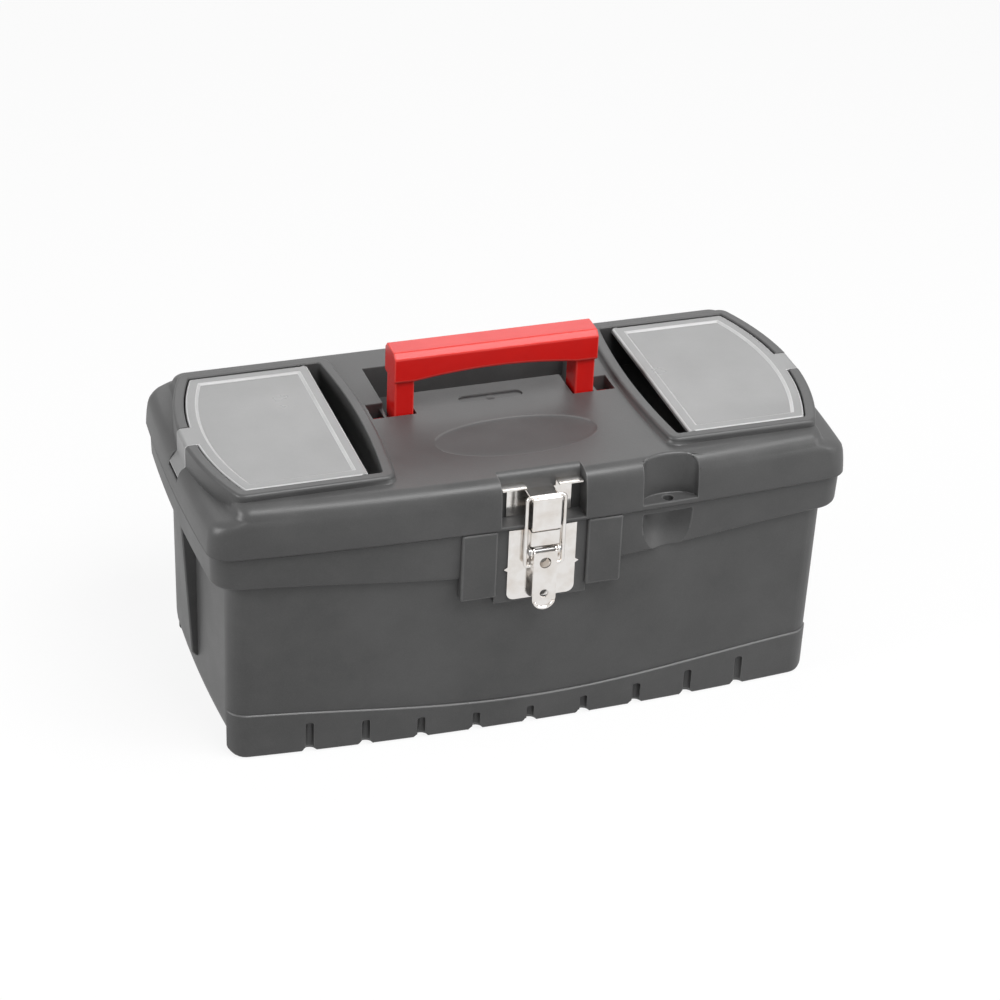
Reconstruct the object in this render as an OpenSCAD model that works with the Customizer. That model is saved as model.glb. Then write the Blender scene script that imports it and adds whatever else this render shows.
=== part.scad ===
// Moulded plastic tool box with a folding handle, two lid bins and a toggle latch.
// Origin on the floor under the middle of the box, front towards -Y, up is +Z.

/* [Box] */
// Length of the lid's rim at its middle
lid_l = 418; // [404:1:440]
// Depth of the lid's rim at its middle
lid_d = 196; // [190:1:210]
// Height of the joint between tub and lid
parting_z = 150; // [140:1:165]
// Height of the lid's flat top above the joint
lid_h = 32.5; // [31:0.5:38]
// How far the front bows out between its corners
front_bow = 9; // [4:0.5:12]
// How far the ends bow out between their corners
end_bow = 4; // [0:0.5:5]
// Radius of the corners in plan
corner_r = 14; // [9:1:20]
// Wall of the two mouldings
wall = 2.5; // [2:0.1:3]
// Gap between the lid's rim and the tub's rim
joint_gap = 0.3; // [0.2:0.1:0.6]

/* [Tub] */
// Length of the tub at its floor
base_l = 392; // [372:1:394]
// Depth of the tub at its floor
base_d = 176; // [168:1:182]
// Thickness of the floor
floor_t = 3; // [2:0.5:5]
// Radius between the end walls and the floor
end_round = 24; // [12:1:30]
// How far the lid's rim stands out over the tub's rim band
lid_overhang = 2; // [1:0.5:3]
// How far the rim band stands out from the wall
band_step = 2.5; // [1.5:0.5:3.5]
// How far the end walls step in below the rim band
end_step = 7.5; // [0:0.5:8]
// Radius of the tub's back corners below the rim band
back_r = 36; // [14:1:38]
// Height of the rim band at the middle of the front
band_h = 34; // [26:1:40]
// Rise of the curved edges from the middle to the ends
smile = 12; // [0:1:16]
// Height of the foot band at the middle of the front
skirt_h = 20.5; // [16:0.5:30]
// How far the foot band stands out from the wall
skirt_step = 1.5; // [1:0.5:2.5]
// Depth of each long foot, front to back
foot_w = 16; // [10:1:24]
// Radius of the feet's lower corners seen from the front
foot_r = 11; // [6:1:14]
// Height of the locating lip inside the lid
lip_h = 4; // [3:0.5:5]
// Width of the rib down the middle of each end
rib_w = 18; // [12:1:26]
// Height of that rib's lower end
rib_z = 32; // [26:1:50]

/* [Notches in the feet] */
// Notches along each long foot
notch_count = 9; // [1:2:9]
// Spacing of the notches
notch_pitch = 35.9; // [20:0.1:38]
// Width of a notch
notch_w = 6; // [3:0.5:8]
// Depth of a notch into the foot
notch_depth = 2.6; // [1.5:0.1:3.2]
// Distance from a notch's top to the foot band's edge
notch_drop = 9; // [6:0.5:11]

/* [Lid bins and covers] */
// Distance from the middle of the box to a cover's inner edge
cover_in = 103.6; // [100:0.5:106]
// Distance from a cover's outer corners to the lid's end
cover_end = 28.6; // [28:0.2:34]
// Length of a cover's straight inner edge
cover_d = 142; // [130:1:146]
// How far a cover's outer edge bows out
cover_bow = 14.5; // [10:0.5:15.5]
// Place of the covers' middle behind the box's middle
cover_y = 1.5; // [-2:0.5:4]
// Thickness of a cover
cover_t = 2.2; // [1.6:0.1:3]
// Width of a cover's raised border
cover_border = 8; // [5:0.5:12]
// Height of that border over the panel
border_h = 0.8; // [0.4:0.1:1.2]
// Gap around a cover
cover_gap = 0.8; // [0.5:0.1:1.5]
// Free space behind a cover's hinge edge
hinge_space = 8.6; // [7:0.2:10]
// How far the bin's inner wall bows towards the box's middle
bin_bow = 4.5; // [0:0.5:6]
// Width of the raised frame round a bin
frame_w = 7; // [5.5:0.5:9]
// Radius of the frame's outer corners
frame_r = 7; // [3:0.5:9]
// Radius of a cover's corners
cover_r0 = 2; // [1:0.5:3]
// Height of the frame above the lid's top
frame_h = 4.5; // [4:0.5:6]
// Radius of a cover's hinge stubs
cover_pin_r = 2; // [1.5:0.1:2.1]
// Length of a cover's hinge stubs
cover_pin_l = 4.5; // [3:0.5:5]
// Width of a cover's thumb tab
tab_w = 22; // [14:1:28]
// Height of a cover's thumb tab
tab_l = 22; // [20:1:31]

/* [Lid top] */
// Length of the thumb scoop
scoop_l = 106; // [80:1:120]
// Depth of the thumb scoop, front to back
scoop_d = 46; // [36:1:50]
// How far the scoop is sunk
scoop_t = 3; // [1.5:0.1:4]
// Distance from the handle's slots forward to the scoop's middle
scoop_gap = 42; // [38:1:46]
// Length of the sunk mark between its round ends
mark_l = 34; // [20:1:50]
// Width of the sunk mark
mark_w = 8; // [5:0.5:12]
// Depth of the sunk mark
mark_t = 0.8; // [0.4:0.1:1.2]

/* [Handle] */
// Half length of the grip
grip_hl = 67; // [62:0.5:72]
// Depth of the grip, front to back
grip_d = 22; // [18:0.5:23]
// Height of the grip
grip_h = 20.5; // [17:0.5:24]
// Rise of the arch under the grip
grip_arch = 4; // [0:0.5:6]
// Chamfer along the grip's upper edges
grip_chamfer = 3.5; // [1:0.5:5]
// Width of a leg
leg_w = 12.5; // [9:0.5:15]
// Depth of a leg, front to back
leg_d = 18; // [14:0.5:18.5]
// Distance from the pivot to the top of the grip
handle_rise = 53.5; // [48:0.5:58]
// Distance from the box's middle back to the pivot
pivot_y = 11.5; // [8:0.5:14]
// Depth of the pivot below the lid's top
pivot_drop = 10.5; // [10:0.5:12]
// Radius of the pivot stubs
stub_r = 4; // [3:0.1:4.5]
// Room round the folded handle
handle_room = 1.5; // [1:0.25:2.5]
// Depth of the pockets that the pivot stubs end in
pocket_w = 9; // [7:0.5:11]

/* [Latch] */
// Half width of the latch recess in the lid
recess_hw = 27; // [25:0.5:30]
// Depth of the latch recess behind the lid's front
recess_depth = 13; // [11.5:0.5:15]
// Width of the pads beside the latch
pad_w = 23; // [16:1:28]
// How far the pads stand out from the rim band
pad_step = 1.5; // [1:0.5:2]
// Thickness of the latch's sheet steel
sheet = 1.2; // [0.8:0.1:1.4]
// Width of the base plate
plate_w = 44; // [38:1:48]
// Height of the base plate
plate_h = 50; // [47:1:54]
// Distance of the lever's pin in front of the base plate
pin_out = 3.3; // [3.2:0.1:4]
// Distance of the lever's pin below the joint
pin_drop = 16; // [14:0.5:18]
// Radius of the lever's pin
pin_r = 1.5; // [1.2:0.1:1.7]
// Width of the lever
lever_w = 15.4; // [12:0.2:16]
// Length of the lever below its pin
lever_l = 38; // [36:0.5:40]
// Radius of the curled lip at the lever's lower end
lever_curl = 3; // [2:0.2:4]
// Distance from the pin down to the wire bail's ends
bail_arm = 10; // [9:0.5:11]
// Height of the bail's crossbar above its ends
bail_l = 48.5; // [46:0.5:51]
// Diameter of the bail's wire
wire_d = 2.5; // [2:0.1:2.8]
// Distance between the bail's legs, middle to middle
bail_w = 24.4; // [24:0.2:27]
// Width of the keeper's tongue
tongue_w = 18.4; // [14:0.2:19]
// Width of the keeper over its two ears
keeper_w = 52; // [46:1:53]
// Height of the keeper's ears above its shelf
keeper_ear = 5; // [4:0.5:6]
// Depth of the keeper's ears, front to back
ear_d = 8; // [4:0.5:9]
// Height of the lip in front of the crossbar
hook_lip = 1.6; // [1:0.1:2]
// Radius of the rivet heads
rivet_r = 3.2; // [2.5:0.1:3.6]
// Radius of the rivet shanks
shank_r = 1.6; // [1.2:0.1:2]

/* [Padlock eye] */
// Distance from the box's middle to the eye
eye_x = 83; // [78:0.5:86]
// Radius of the padlock hole
eye_r = 3.3; // [2.5:0.1:4]
// Half width of the pocket at the lid's front
eye_hw = 18; // [14:0.5:18.5]
// Depth of the pocket behind the lid's front
eye_depth = 11; // [10:0.5:12.5]
// Thickness of the two ledges that the hole goes through
ledge_t = 4; // [3:0.5:6]

/* [Rear hinges] */
// Distance from the box's middle to each hinge
hinge_x = 120; // [90:1:140]
// Distance of the hinge's axis behind the lid's rim
hinge_out = 5.5; // [5.3:0.1:7]
// Radius of the knuckles
knuckle_r = 4.5; // [3.8:0.1:4.7]
// Length of the lid's knuckle
knuckle_l = 20; // [12:1:30]
// Length of each of the tub's knuckles
lug_l = 10; // [6:1:16]
// Radius of the hinge pins
hinge_pin_r = 2; // [1.5:0.1:2.3]

/* [Tray] */
// Height of the lift-out tray
tray_h = 34; // [24:1:38]
// Gap between the tray's long sides and the tub at its corners
tray_side = 4.5; // [4:0.5:20]
// Wall of the tray
tray_wall = 2; // [1.6:0.1:2.5]
// Gap between the tray's ends and the tub
tray_gap = 3.5; // [3:0.5:5]
// Length of the ledges that carry the tray
ledge_l = 8; // [6:0.5:10]

/* [Fits] */
// Radial clearance of the pins and stubs in their bores
run_fit = 0.05; // [0.03:0.01:0.1]
// Side clearance between pieces that turn past each other
side_fit = 0.5; // [0.3:0.05:0.6]

/* [Hidden] */
$fn = 48;

plastic = "#4f4f4f";
cover_colour = "#b4b4b4";
handle_colour = "#dd1c1c";
steel = "#d8d8d6";
// Segments along the bowed front, a bowed end, round a corner and along a bin's arc
front_steps = 12;
end_steps = 6;
corner_steps = 4;
arc_steps = 12;
// Amount by which a cut passes the face it opens
over = 1;
// Amount by which a boss is sunk into its wall so that the two are one
sink = 1;
// Room that the locating lip leaves beside the latch and the padlock eye
lip_cut = 4;
// Height over which an end wall steps out behind the rim band
step_h = 10;
// Lower end of an end rib: how far it stands out, its chamfer and its distance from the joint
rib_out = 4;
rib_chamfer = 3;
rib_gap = 3;
// Thickness of the webs that carry the handle's stubs and their depth below the lid's top
web_t = 2.5;
web_drop = 4;
// How far a leg stands in from the grip's end
leg_inset = 1;
// Depth of the shelf behind the legs
shelf_gap = 8;
// How far the latch's seat stands in from the rim band
seat_inset = 1;
// Distance from the base plate's top to the joint, and of the seat's end below the plate
plate_gap = 1;
seat_gap = 2;
// Distance of the pads' lower ends above the base plate's lower edge
pad_rise = 4;
// Distance from the base plate's lower edge of its side barbs, and their size
barb_z = 21;
barb = 2.5;
// Distances of the rivets below the lever's pin and above the lever's end
rivet_drop = 7;
rivet_rise = 9;
// Height of the keeper's rivet above the recess floor
keeper_rise = 7;
// Free gap round the crossbar in its hook
hook_gap = 0.3;
// How far the lever's sheet reaches above its pin
lever_top = 1;
// How far a cover lies below the top of its frame
cover_sink = 0.5;
// Wall of a cover's hinge barrel round its stubs
barrel_t = 0.6;
// Thickness of a thumb tab, how far its lip stands out, and the room behind and under it
strap_t = 2;
tab_lip = 5;
tab_room = 1.5;
tab_under = 3;
// Depth of the gussets under the tub's knuckles and over the lid's
lug_drop = 16;
knuckle_rise = 14;
// How far the hollow under the padlock eye cuts into the wall at the rim band's lower edge
eye_run = 0.5;
// Depth of the rounded back of the padlock pocket
eye_round = 8;
// Distance of the tray's top below the joint
tray_drop = 6;

half_l = lid_l/2;
half_d = lid_d/2;
lid_z = parting_z + joint_gap;
top_z = parting_z + lid_h;
frame_z = top_z + frame_h;
wall_l = half_l - lid_overhang - band_step - end_step;
wall_d = half_d - lid_overhang - band_step;
band_l = half_l - lid_overhang;
band_d = half_d - lid_overhang;
lip_z = parting_z + lip_h;
deck_z = top_z - wall;
step_z = parting_z - band_h + smile;
bin_z = lip_z + over;

pivot_z = top_z - pivot_drop;
grip_z = pivot_z + handle_rise;
grip_front = pivot_y - grip_d/2;
well_hw = grip_hl + handle_room;
well_back = pivot_y + handle_rise + handle_room;
well_z = pivot_z - grip_d/2 - handle_room;
leg_out = grip_hl - leg_inset;
leg_in = leg_out - leg_w;
slot_front = pivot_y - leg_d/2 - handle_room/2;
slot_back = pivot_y + leg_d/2 - handle_room/2;
shelf_hw = leg_in - handle_room;
scoop_y = slot_front - scoop_gap;
shelf_back = pivot_y + leg_d/2 + shelf_gap;

seat_y = seat_inset - band_d;
plate_y = seat_y - sheet;
plate_top = parting_z - plate_gap;
plate_low = plate_top - plate_h;
pad_in = recess_hw + seat_gap;
pin_y = plate_y - pin_out;
pin_z = parting_z - pin_drop;
bail_r = wire_d/2;
anchor_z = pin_z - bail_arm;
bar_z = anchor_z + bail_l;
recess_y = -(half_d - recess_depth);
recess_floor = lid_z + wall;
ear_in = lever_w/2 + side_fit;
ear_out = ear_in + sheet;
cheek_r = pin_out - hook_gap;
lever_y = pin_y - cheek_r - sheet + hook_gap;
hat_y = pin_y - 2*bail_r;
hat_z = pin_z + norm([pin_y - lever_y, lever_top]) + 3*side_fit;
rivet_zs = [pin_z - rivet_drop, pin_z - lever_l + rivet_rise];
shelf_top = bar_z - bail_r - hook_gap;
tongue_y = pin_y - bail_r - hook_gap;
keeper_rivet_z = recess_floor + keeper_rise;

eye_front = half_d - front_bow*pow(eye_x/half_l, 2);
eye_cyl_r = (eye_hw*eye_hw + eye_depth*eye_depth)/(2*eye_depth);
eye_cyl_y = -eye_front + eye_depth - eye_cyl_r;
eye_y = -eye_front + eye_depth/2;
eye_back = eye_depth - eye_front;
eye_floor = lid_z + ledge_t;

hinge_y = half_d + hinge_out;
cover_out = half_l - cover_end;
cover_z = frame_z - cover_sink;
barrel_r = cover_pin_r + barrel_t;
cover_pin_z = cover_z - barrel_r;
cover_pin_x = cover_in + barrel_r;
cover_hd = cover_d/2;
cover_r = (cover_hd*cover_hd + cover_bow*cover_bow)/(2*cover_bow);
cover_cx = cover_out + cover_bow - cover_r;
bin_in = cover_in - hinge_space;
tab_x = cover_out + cover_bow + cover_gap + frame_w;
tab_z = frame_z - tab_l;
tray_z = parting_z - tray_drop - tray_h;
tray_hd = base_d/2 + (wall_d - base_d/2)*tray_z/parting_z - wall - front_bow - tray_side;

// Share of the step below the rim band that is passed at a height
function stepped(z) = min(max((z - step_z)/step_h, 0), 1);
// Radius of the tub's back corners at a height
function back_at(z) = back_r + (corner_r - back_r)*stepped(z);
// Half length and half depth of the tub's wall at a height
function tub_l(z) = base_l/2 + (wall_l - base_l/2)*z/parting_z
    + end_step*stepped(z);
function tub_d(z) = base_d/2 + (wall_d - base_d/2)*z/parting_z;
// How far the rounded lower end stands back at a height
function end_in(z) = z >= end_round ? 0 : end_round - sqrt(pow(end_round, 2) - pow(end_round - z, 2));
// Front of a bowed outline at a place along its length, and its end at a place along its depth
function front_at(x, hl, front) = -front + front_bow*pow(x/hl, 2);
function end_at(y, hl, hd) = hl - end_bow*pow(y/hd, 2);
// Rise of the curved band edges at a place along the front
function rise(x) = smile/2*(1 - cos(180*min(abs(x), half_l)/half_l));
function band_edge(x) = parting_z - band_h + rise(x);
function skirt_edge(x) = skirt_h + rise(x);
// Points of an arc
function arc(cx, cy, r, a0, a1, n) =
    [for (i = [0:n]) let (a = a0 + (a1 - a0)*i/n) [cx + r*cos(a), cy + r*sin(a)]];
// Plan outline with a bowed front, bowed ends, a straight back and round corners, r in front and q behind
function plan(hl, hd, r, q) =
    let (a = atan(2*front_bow*(hl - r)/(hl*hl)),
         e = atan(2*end_bow*(hd - r)/(hd*hd)),
         f = atan(2*end_bow*(hd - q)/(hd*hd)),
         y0 = front_at(hl - r, hl, hd) + r*(cos(a) - sin(e)),
         y1 = hd - q + q*sin(f),
         xf = end_at(y0, hl, hd) - r*cos(e),
         xb = end_at(y1, hl, hd) - q*cos(f),
         xe = xf + r*sin(a),
         yf = front_at(xe, hl, hd) + r*cos(a),
         ends = [for (i = [1:end_steps - 1]) let (y = y0 + (y1 - y0)*i/end_steps) [end_at(y, hl, hd), y]])
    concat(
        [for (i = [1:front_steps - 1]) let (x = xe*(2*i/front_steps - 1)) [x, front_at(x, hl, hd)]],
        arc(xf, yf, r, a - 90, -e, corner_steps),
        ends,
        arc(xb, hd - q, q, f, 90, corner_steps),
        arc(-xb, hd - q, q, 90, 180 - f, corner_steps),
        [for (i = [len(ends) - 1:-1:0]) [-ends[i][0], ends[i][1]]],
        arc(-xf, yf, r, 180 + e, 270 - a, corner_steps));
// Outline of a cover or bin on the right, grown by g: arc at its outer end, bowed inner edge, round corners
function bay(inner, bow, g, r) =
    let (yc = cover_hd + g - r,
         xc = cover_cx + sqrt(pow(cover_r + g - r, 2) - yc*yc),
         a = atan2(yc, xc - cover_cx))
    concat(
        arc(xc, cover_y - yc, r, -90, -a, corner_steps),
        [for (i = [1:arc_steps - 1]) let (b = a*(2*i/arc_steps - 1))
            [cover_cx + (cover_r + g)*cos(b), cover_y + (cover_r + g)*sin(b)]],
        arc(xc, cover_y + yc, r, a, 90, corner_steps),
        arc(inner + r, cover_y + yc, r, 90, 180, corner_steps),
        [for (i = [1:arc_steps - 1]) let (t = 1 - 2*i/arc_steps) [inner - bow*(1 - t*t), cover_y + t*yc]],
        arc(inner + r, cover_y - yc, r, 180, 270, corner_steps));

// Solid through plan outlines at rising heights
module loft(levels) {
    n = len(levels[0][1]);
    m = len(levels);
    points = [for (level = levels) for (p = level[1]) [p[0], p[1], level[0]]];
    sides = [for (k = [0:m - 2]) for (i = [0:n - 1]) let (a = k*n + i, b = k*n + (i + 1)%n)
        each [[a, a + n, b + n], [a, b + n, b]]];
    bottom = [for (i = [0:n - 1]) i];
    top = [for (i = [n - 1:-1:0]) (m - 1)*n + i];
    polyhedron(points, concat([bottom, top], sides));
}

// Slab with an outline drawn as seen from the front, between two depths
module front_slab(points, y0, y1) {
    translate([0, y1, 0]) rotate([90, 0, 0]) linear_extrude(y1 - y0) polygon(points);
}

// Slab with an outline of depth and height, between two places along the length
module side_slab(points, x0, x1) {
    translate([x0, 0, 0]) rotate([90, 0, 90]) linear_extrude(x1 - x0) polygon(points);
}

// Round bar along the length of the box
module x_bar(r, x0, x1, y, z) {
    translate([x0, y, z]) rotate([0, 90, 0]) cylinder(r = r, h = x1 - x0);
}

// Round bar along the depth of the box
module y_bar(r, y0, y1, x, z) {
    translate([x, y1, z]) rotate([90, 0, 0]) cylinder(r = r, h = y1 - y0);
}

// Box from its lowest and highest corners
module block(low, high) {
    translate(low) cube(high - low);
}

// Both ends or both sides of the box
module both_sides() {
    children();
    mirror([1, 0, 0]) children();
}

// Drafted body of the tub, drawn in by g for its inside
module tub_body(g, z0, z1) {
    heights = concat([for (b = [90:-30:0]) z0 + end_round*(1 - sin(b))], [step_z, step_z + step_h, z1]);
    loft([for (z = heights) let (d = tub_d(z) - g)
        [z, plan(tub_l(z) - end_in(z - z0) - g, d, corner_r - g, back_at(z) - g)]]);
}

module rim_band() {
    z0 = band_edge(0) - over;
    edge = [for (i = [-front_steps:front_steps]) let (x = i/front_steps*half_l) [x, band_edge(x)]];
    top = [[half_l, parting_z + over], [-half_l, parting_z + over]];
    draft = tub_d(parting_z) - tub_d(z0);
    intersection() {
        loft([[z0, plan(band_l - draft, band_d - draft, corner_r, corner_r)],
              [parting_z, plan(band_l, band_d, corner_r, corner_r)]]);
        front_slab(concat(top, edge), -half_d, half_d);
    }
}

module foot_band() {
    top = skirt_edge(half_l) + over;
    end = tub_l(0) + over/2;
    low = concat([[-half_l, foot_r]], arc(foot_r - end, foot_r, foot_r, 180, 270, corner_steps),
                 arc(end - foot_r, foot_r, foot_r, 270, 360, corner_steps), [[half_l, foot_r]]);
    edge = [for (i = [front_steps:-1:-front_steps]) let (x = i/front_steps*half_l) [x, skirt_edge(x)]];
    intersection() {
        loft([for (z = [0, top]) [z, plan(tub_l(z) + over/2, tub_d(z) + skirt_step, corner_r, back_r)]]);
        front_slab(concat(low, edge), -half_d, half_d);
        difference() {
            block([-half_l, -half_d, 0], [half_l, half_d, top]);
            block([-half_l, foot_w - base_d/2, -over], [half_l, base_d/2 - foot_w, top + over]);
        }
    }
}

// Round-topped notches along the front and back feet
module foot_notches() {
    for (i = [0:notch_count - 1]) {
        x = (i - (notch_count - 1)/2)*notch_pitch;
        z = skirt_edge(x) - notch_drop - notch_w/2;
        face = front_at(x, tub_l(0), tub_d(0) + skirt_step);
        for (span = [[face - skirt_step - over, face + notch_depth],
                     [tub_d(0) + skirt_step - notch_depth, half_d]]) {
            block([x - notch_w/2, span[0], -over], [x + notch_w/2, span[1], z]);
            y_bar(notch_w/2, span[0], span[1], x, z);
        }
    }
}

// Rib down the middle of the right end
module end_rib() {
    low_x = tub_l(rib_z) + rib_out;
    high_z = parting_z - rib_gap;
    front_slab([[tub_l(rib_z) - sink, rib_z], [low_x - rib_chamfer, rib_z], [low_x, rib_z + rib_chamfer],
                [band_l, high_z - rib_gap], [band_l - rib_gap, high_z], [wall_l - sink, high_z]],
               -rib_w/2, rib_w/2);
}

// Raised pads and flat seat for the latch on the tub's front
module latch_seat() {
    both_sides() block([pad_in, -band_d - pad_step, plate_low + pad_rise],
                       [pad_in + pad_w, -tub_d(0), parting_z]);
    block([-pad_in, seat_y, plate_low - seat_gap], [pad_in, -tub_d(0), parting_z]);
}

// Space between the pads, in front of the latch's seat
module latch_bay() {
    block([-pad_in, -half_d - over, plate_low - seat_gap], [pad_in, seat_y, lip_z + over]);
}

// Lugs for one rear hinge, about the hinge's middle
module tub_lugs() {
    x0 = knuckle_l/2 + side_fit;
    both_sides() {
        x_bar(knuckle_r, x0, x0 + lug_l, hinge_y, parting_z);
        side_slab([[wall_d - sink, parting_z - lug_drop], [wall_d, parting_z - lug_drop],
                   [hinge_y + knuckle_r, parting_z - knuckle_r/2], [hinge_y + knuckle_r, parting_z],
                   [wall_d - sink, parting_z]], x0, x0 + lug_l);
    }
}

// Block behind the padlock eye, from a height up to another
module eye_block(y, z0, z1) {
    block([eye_x - eye_hw - wall, y, z0], [eye_x + eye_hw + wall, eye_back + wall, z1]);
}

// Pocket over the padlock eye with straight sides and a rounded back
module eye_space() {
    middle = eye_back - eye_round;
    translate([eye_x, middle, eye_floor]) scale([eye_hw/eye_round, 1, 1])
        cylinder(r = eye_round, h = lid_h);
    block([eye_x - eye_hw, -half_d - over, eye_floor], [eye_x + eye_hw, middle, eye_floor + lid_h]);
}

// Hollow under the padlock eye, which runs out towards the rim band's lower edge
module eye_hollow() {
    low = band_edge(eye_x);
    high = parting_z - ledge_t;
    shift = eye_depth - lid_overhang - band_step - eye_run;
    loft([for (level = [[low - over, shift], [(low + high)/2, 0], [high, 0]])
        [level[0], arc(eye_x, eye_cyl_y - level[1], eye_cyl_r, 0, 360*(1 - 1/$fn), $fn - 1)]]);
}

module tub() {
    inside_top = lip_z + over;
    ledge_in = tub_l(tray_z) - wall - ledge_l;
    color(plastic) difference() {
        union() {
            difference() {
                union() {
                    tub_body(0, 0, lip_z);
                    rim_band();
                    foot_band();
                    both_sides() end_rib();
                    latch_seat();
                }
                tub_body(wall, floor_t, inside_top);
            }
            eye_block(eye_y + ledge_t/4, band_edge(eye_x), parting_z);
            both_sides() block([ledge_in, -tray_hd/2, tray_z - wall - joint_gap],
                               [tub_l(tray_z) - sink, tray_hd/2, tray_z - joint_gap]);
            for (side = [-1, 1]) translate([side*hinge_x, 0, 0]) tub_lugs();
        }
        foot_notches();
        latch_bay();
        block([-recess_hw - lip_cut, -half_d, parting_z],
              [recess_hw + lip_cut, recess_y + 2*wall, inside_top]);
        block([eye_x - eye_hw - lip_cut, -half_d, parting_z],
              [eye_x + eye_hw + lip_cut, eye_back + 2*wall, inside_top]);
        eye_hollow();
        translate([eye_x, eye_y, parting_z - ledge_t - over]) cylinder(r = eye_r, h = ledge_t + 2*over);
        for (z = rivet_zs) y_bar(shank_r + run_fit, seat_y - over, 0, 0, z);
        for (side = [-1, 1]) x_bar(hinge_pin_r + run_fit, side*hinge_x - knuckle_l - lug_l,
                                   side*hinge_x + knuckle_l + lug_l, hinge_y, parting_z);
    }
}

// Rounded body of the lid with low shoulders at its ends, drawn in by g for its inside
module lid_body(g, z0, z1) {
    // Share of the height, inset of the ends, inset of front and back, share of the corner radius
    profile = [[0, 0, 0, 1], [0.1, 0, 0, 1], [0.46, 1, 0.8, 1], [0.62, 3.5, 1.1, 1], [0.69, 7, 1.4, 0.9],
               [0.75, 13, 1.8, 0.7], [0.81, 16.5, 2.4, 0.6], [0.94, 18.5, 5.2, 0.6], [1, 20.5, 10.5, 0.6]];
    loft([for (p = profile) let (r = corner_r*p[3] - g)
        [z0 + (z1 - z0)*p[0], plan(half_l - p[1] - g, half_d - p[2] - g, r, r)]]);
}

// Bay outline raised between two heights
module bay_slab(inner, g, r, z0, z1) {
    translate([0, 0, z0]) linear_extrude(z1 - z0) polygon(bay(inner, bin_bow, g, r));
}

// Raised frame and sunk walls of the right bin
module bin_walls() {
    rim = cover_gap + frame_w;
    bay_slab(bin_in - wall, cover_gap + wall, cover_r0 + wall, bin_z, deck_z + over);
    bay_slab(bin_in - frame_w, rim, frame_r, deck_z, frame_z);
    intersection() {
        bay_slab(bin_in, rim, frame_r, bin_z, frame_z);
        block([cover_out - frame_w, -half_d, bin_z], [half_l + frame_w, half_d, frame_z]);
    }
}

// Space inside the right bin, its cover's bores and the notch for its thumb tab
module bin_space() {
    reach = cover_hd + cover_gap + cover_pin_l + over;
    tab_hw = tab_w/2 + over;
    bay_slab(bin_in, cover_gap, cover_r0, bin_z + wall, frame_z + over);
    y_bar(cover_pin_r + run_fit, cover_y - reach, cover_y + reach, cover_pin_x, cover_pin_z);
    block([tab_x - strap_t - tab_room, cover_y - tab_hw, tab_z - tab_under],
          [half_l + frame_w, cover_y + tab_hw, frame_z + over]);
    block([cover_out, cover_y - tab_hw, cover_z - cover_t - over], [tab_x, cover_y + tab_hw, frame_z + over]);
}

// Walls round the well that the handle folds into, with a hollow shelf between the legs
module well_walls() {
    difference() {
        block([-well_hw - web_t - pocket_w - wall, slot_front - wall, well_z - wall],
              [well_hw + web_t + pocket_w + wall, well_back + wall, deck_z + over]);
        block([wall - shelf_hw, slot_front - wall - over, well_z - wall - over],
              [shelf_hw - wall, shelf_back - wall, deck_z]);
        both_sides() block([well_hw + wall, slot_back + wall, well_z - wall - over],
                           [half_l, half_d, deck_z]);
    }
}

// Well for the folded handle, with slots for its legs and pockets for its stubs
module well_space() {
    block([-well_hw, shelf_back, well_z], [well_hw, well_back, top_z + over]);
    both_sides() {
        block([shelf_hw, slot_front, well_z], [well_hw, well_back, top_z + over]);
        block([well_hw + web_t, slot_front, well_z],
              [well_hw + web_t + pocket_w, slot_back, top_z + over]);
        block([well_hw - over, slot_front, top_z - web_drop],
              [well_hw + web_t + over, slot_back, top_z + over]);
    }
    x_bar(stub_r + run_fit, -well_hw - web_t - over, well_hw + web_t + over, pivot_y, pivot_z);
}

// Lid knuckle of one rear hinge, about the hinge's middle
module lid_knuckle() {
    x_bar(knuckle_r, -knuckle_l/2, knuckle_l/2, hinge_y, parting_z);
    side_slab([[half_d - wall, lid_z], [hinge_y, parting_z], [hinge_y + knuckle_r, parting_z],
               [hinge_y + knuckle_r, parting_z + knuckle_r/2], [half_d - wall, parting_z + knuckle_rise]],
              -knuckle_l/2, knuckle_l/2);
}

// Thicker deck under the thumb scoop
module scoop_backing() {
    block([-scoop_l/2, scoop_y - scoop_d/2, top_z - scoop_t - wall],
          [scoop_l/2, scoop_y + scoop_d/2, deck_z + sink]);
}

// Shallow thumb scoop and sunk mark on the lid's top
module top_marks() {
    scoop_r = (scoop_l*scoop_l/4 + scoop_t*scoop_t)/(2*scoop_t);
    translate([0, scoop_y, top_z - scoop_t]) scale([1, scoop_d/scoop_l, 1])
        translate([0, 0, scoop_r]) sphere(r = scoop_r, $fn = 180);
    translate([0, pivot_y, top_z - mark_t]) {
        block([-mark_l/2, -mark_w/2, 0], [mark_l/2, mark_w/2, over + mark_t]);
        for (x = [-mark_l/2, mark_l/2]) translate([x, 0, 0]) cylinder(r = mark_w/2, h = over + mark_t);
    }
}

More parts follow.
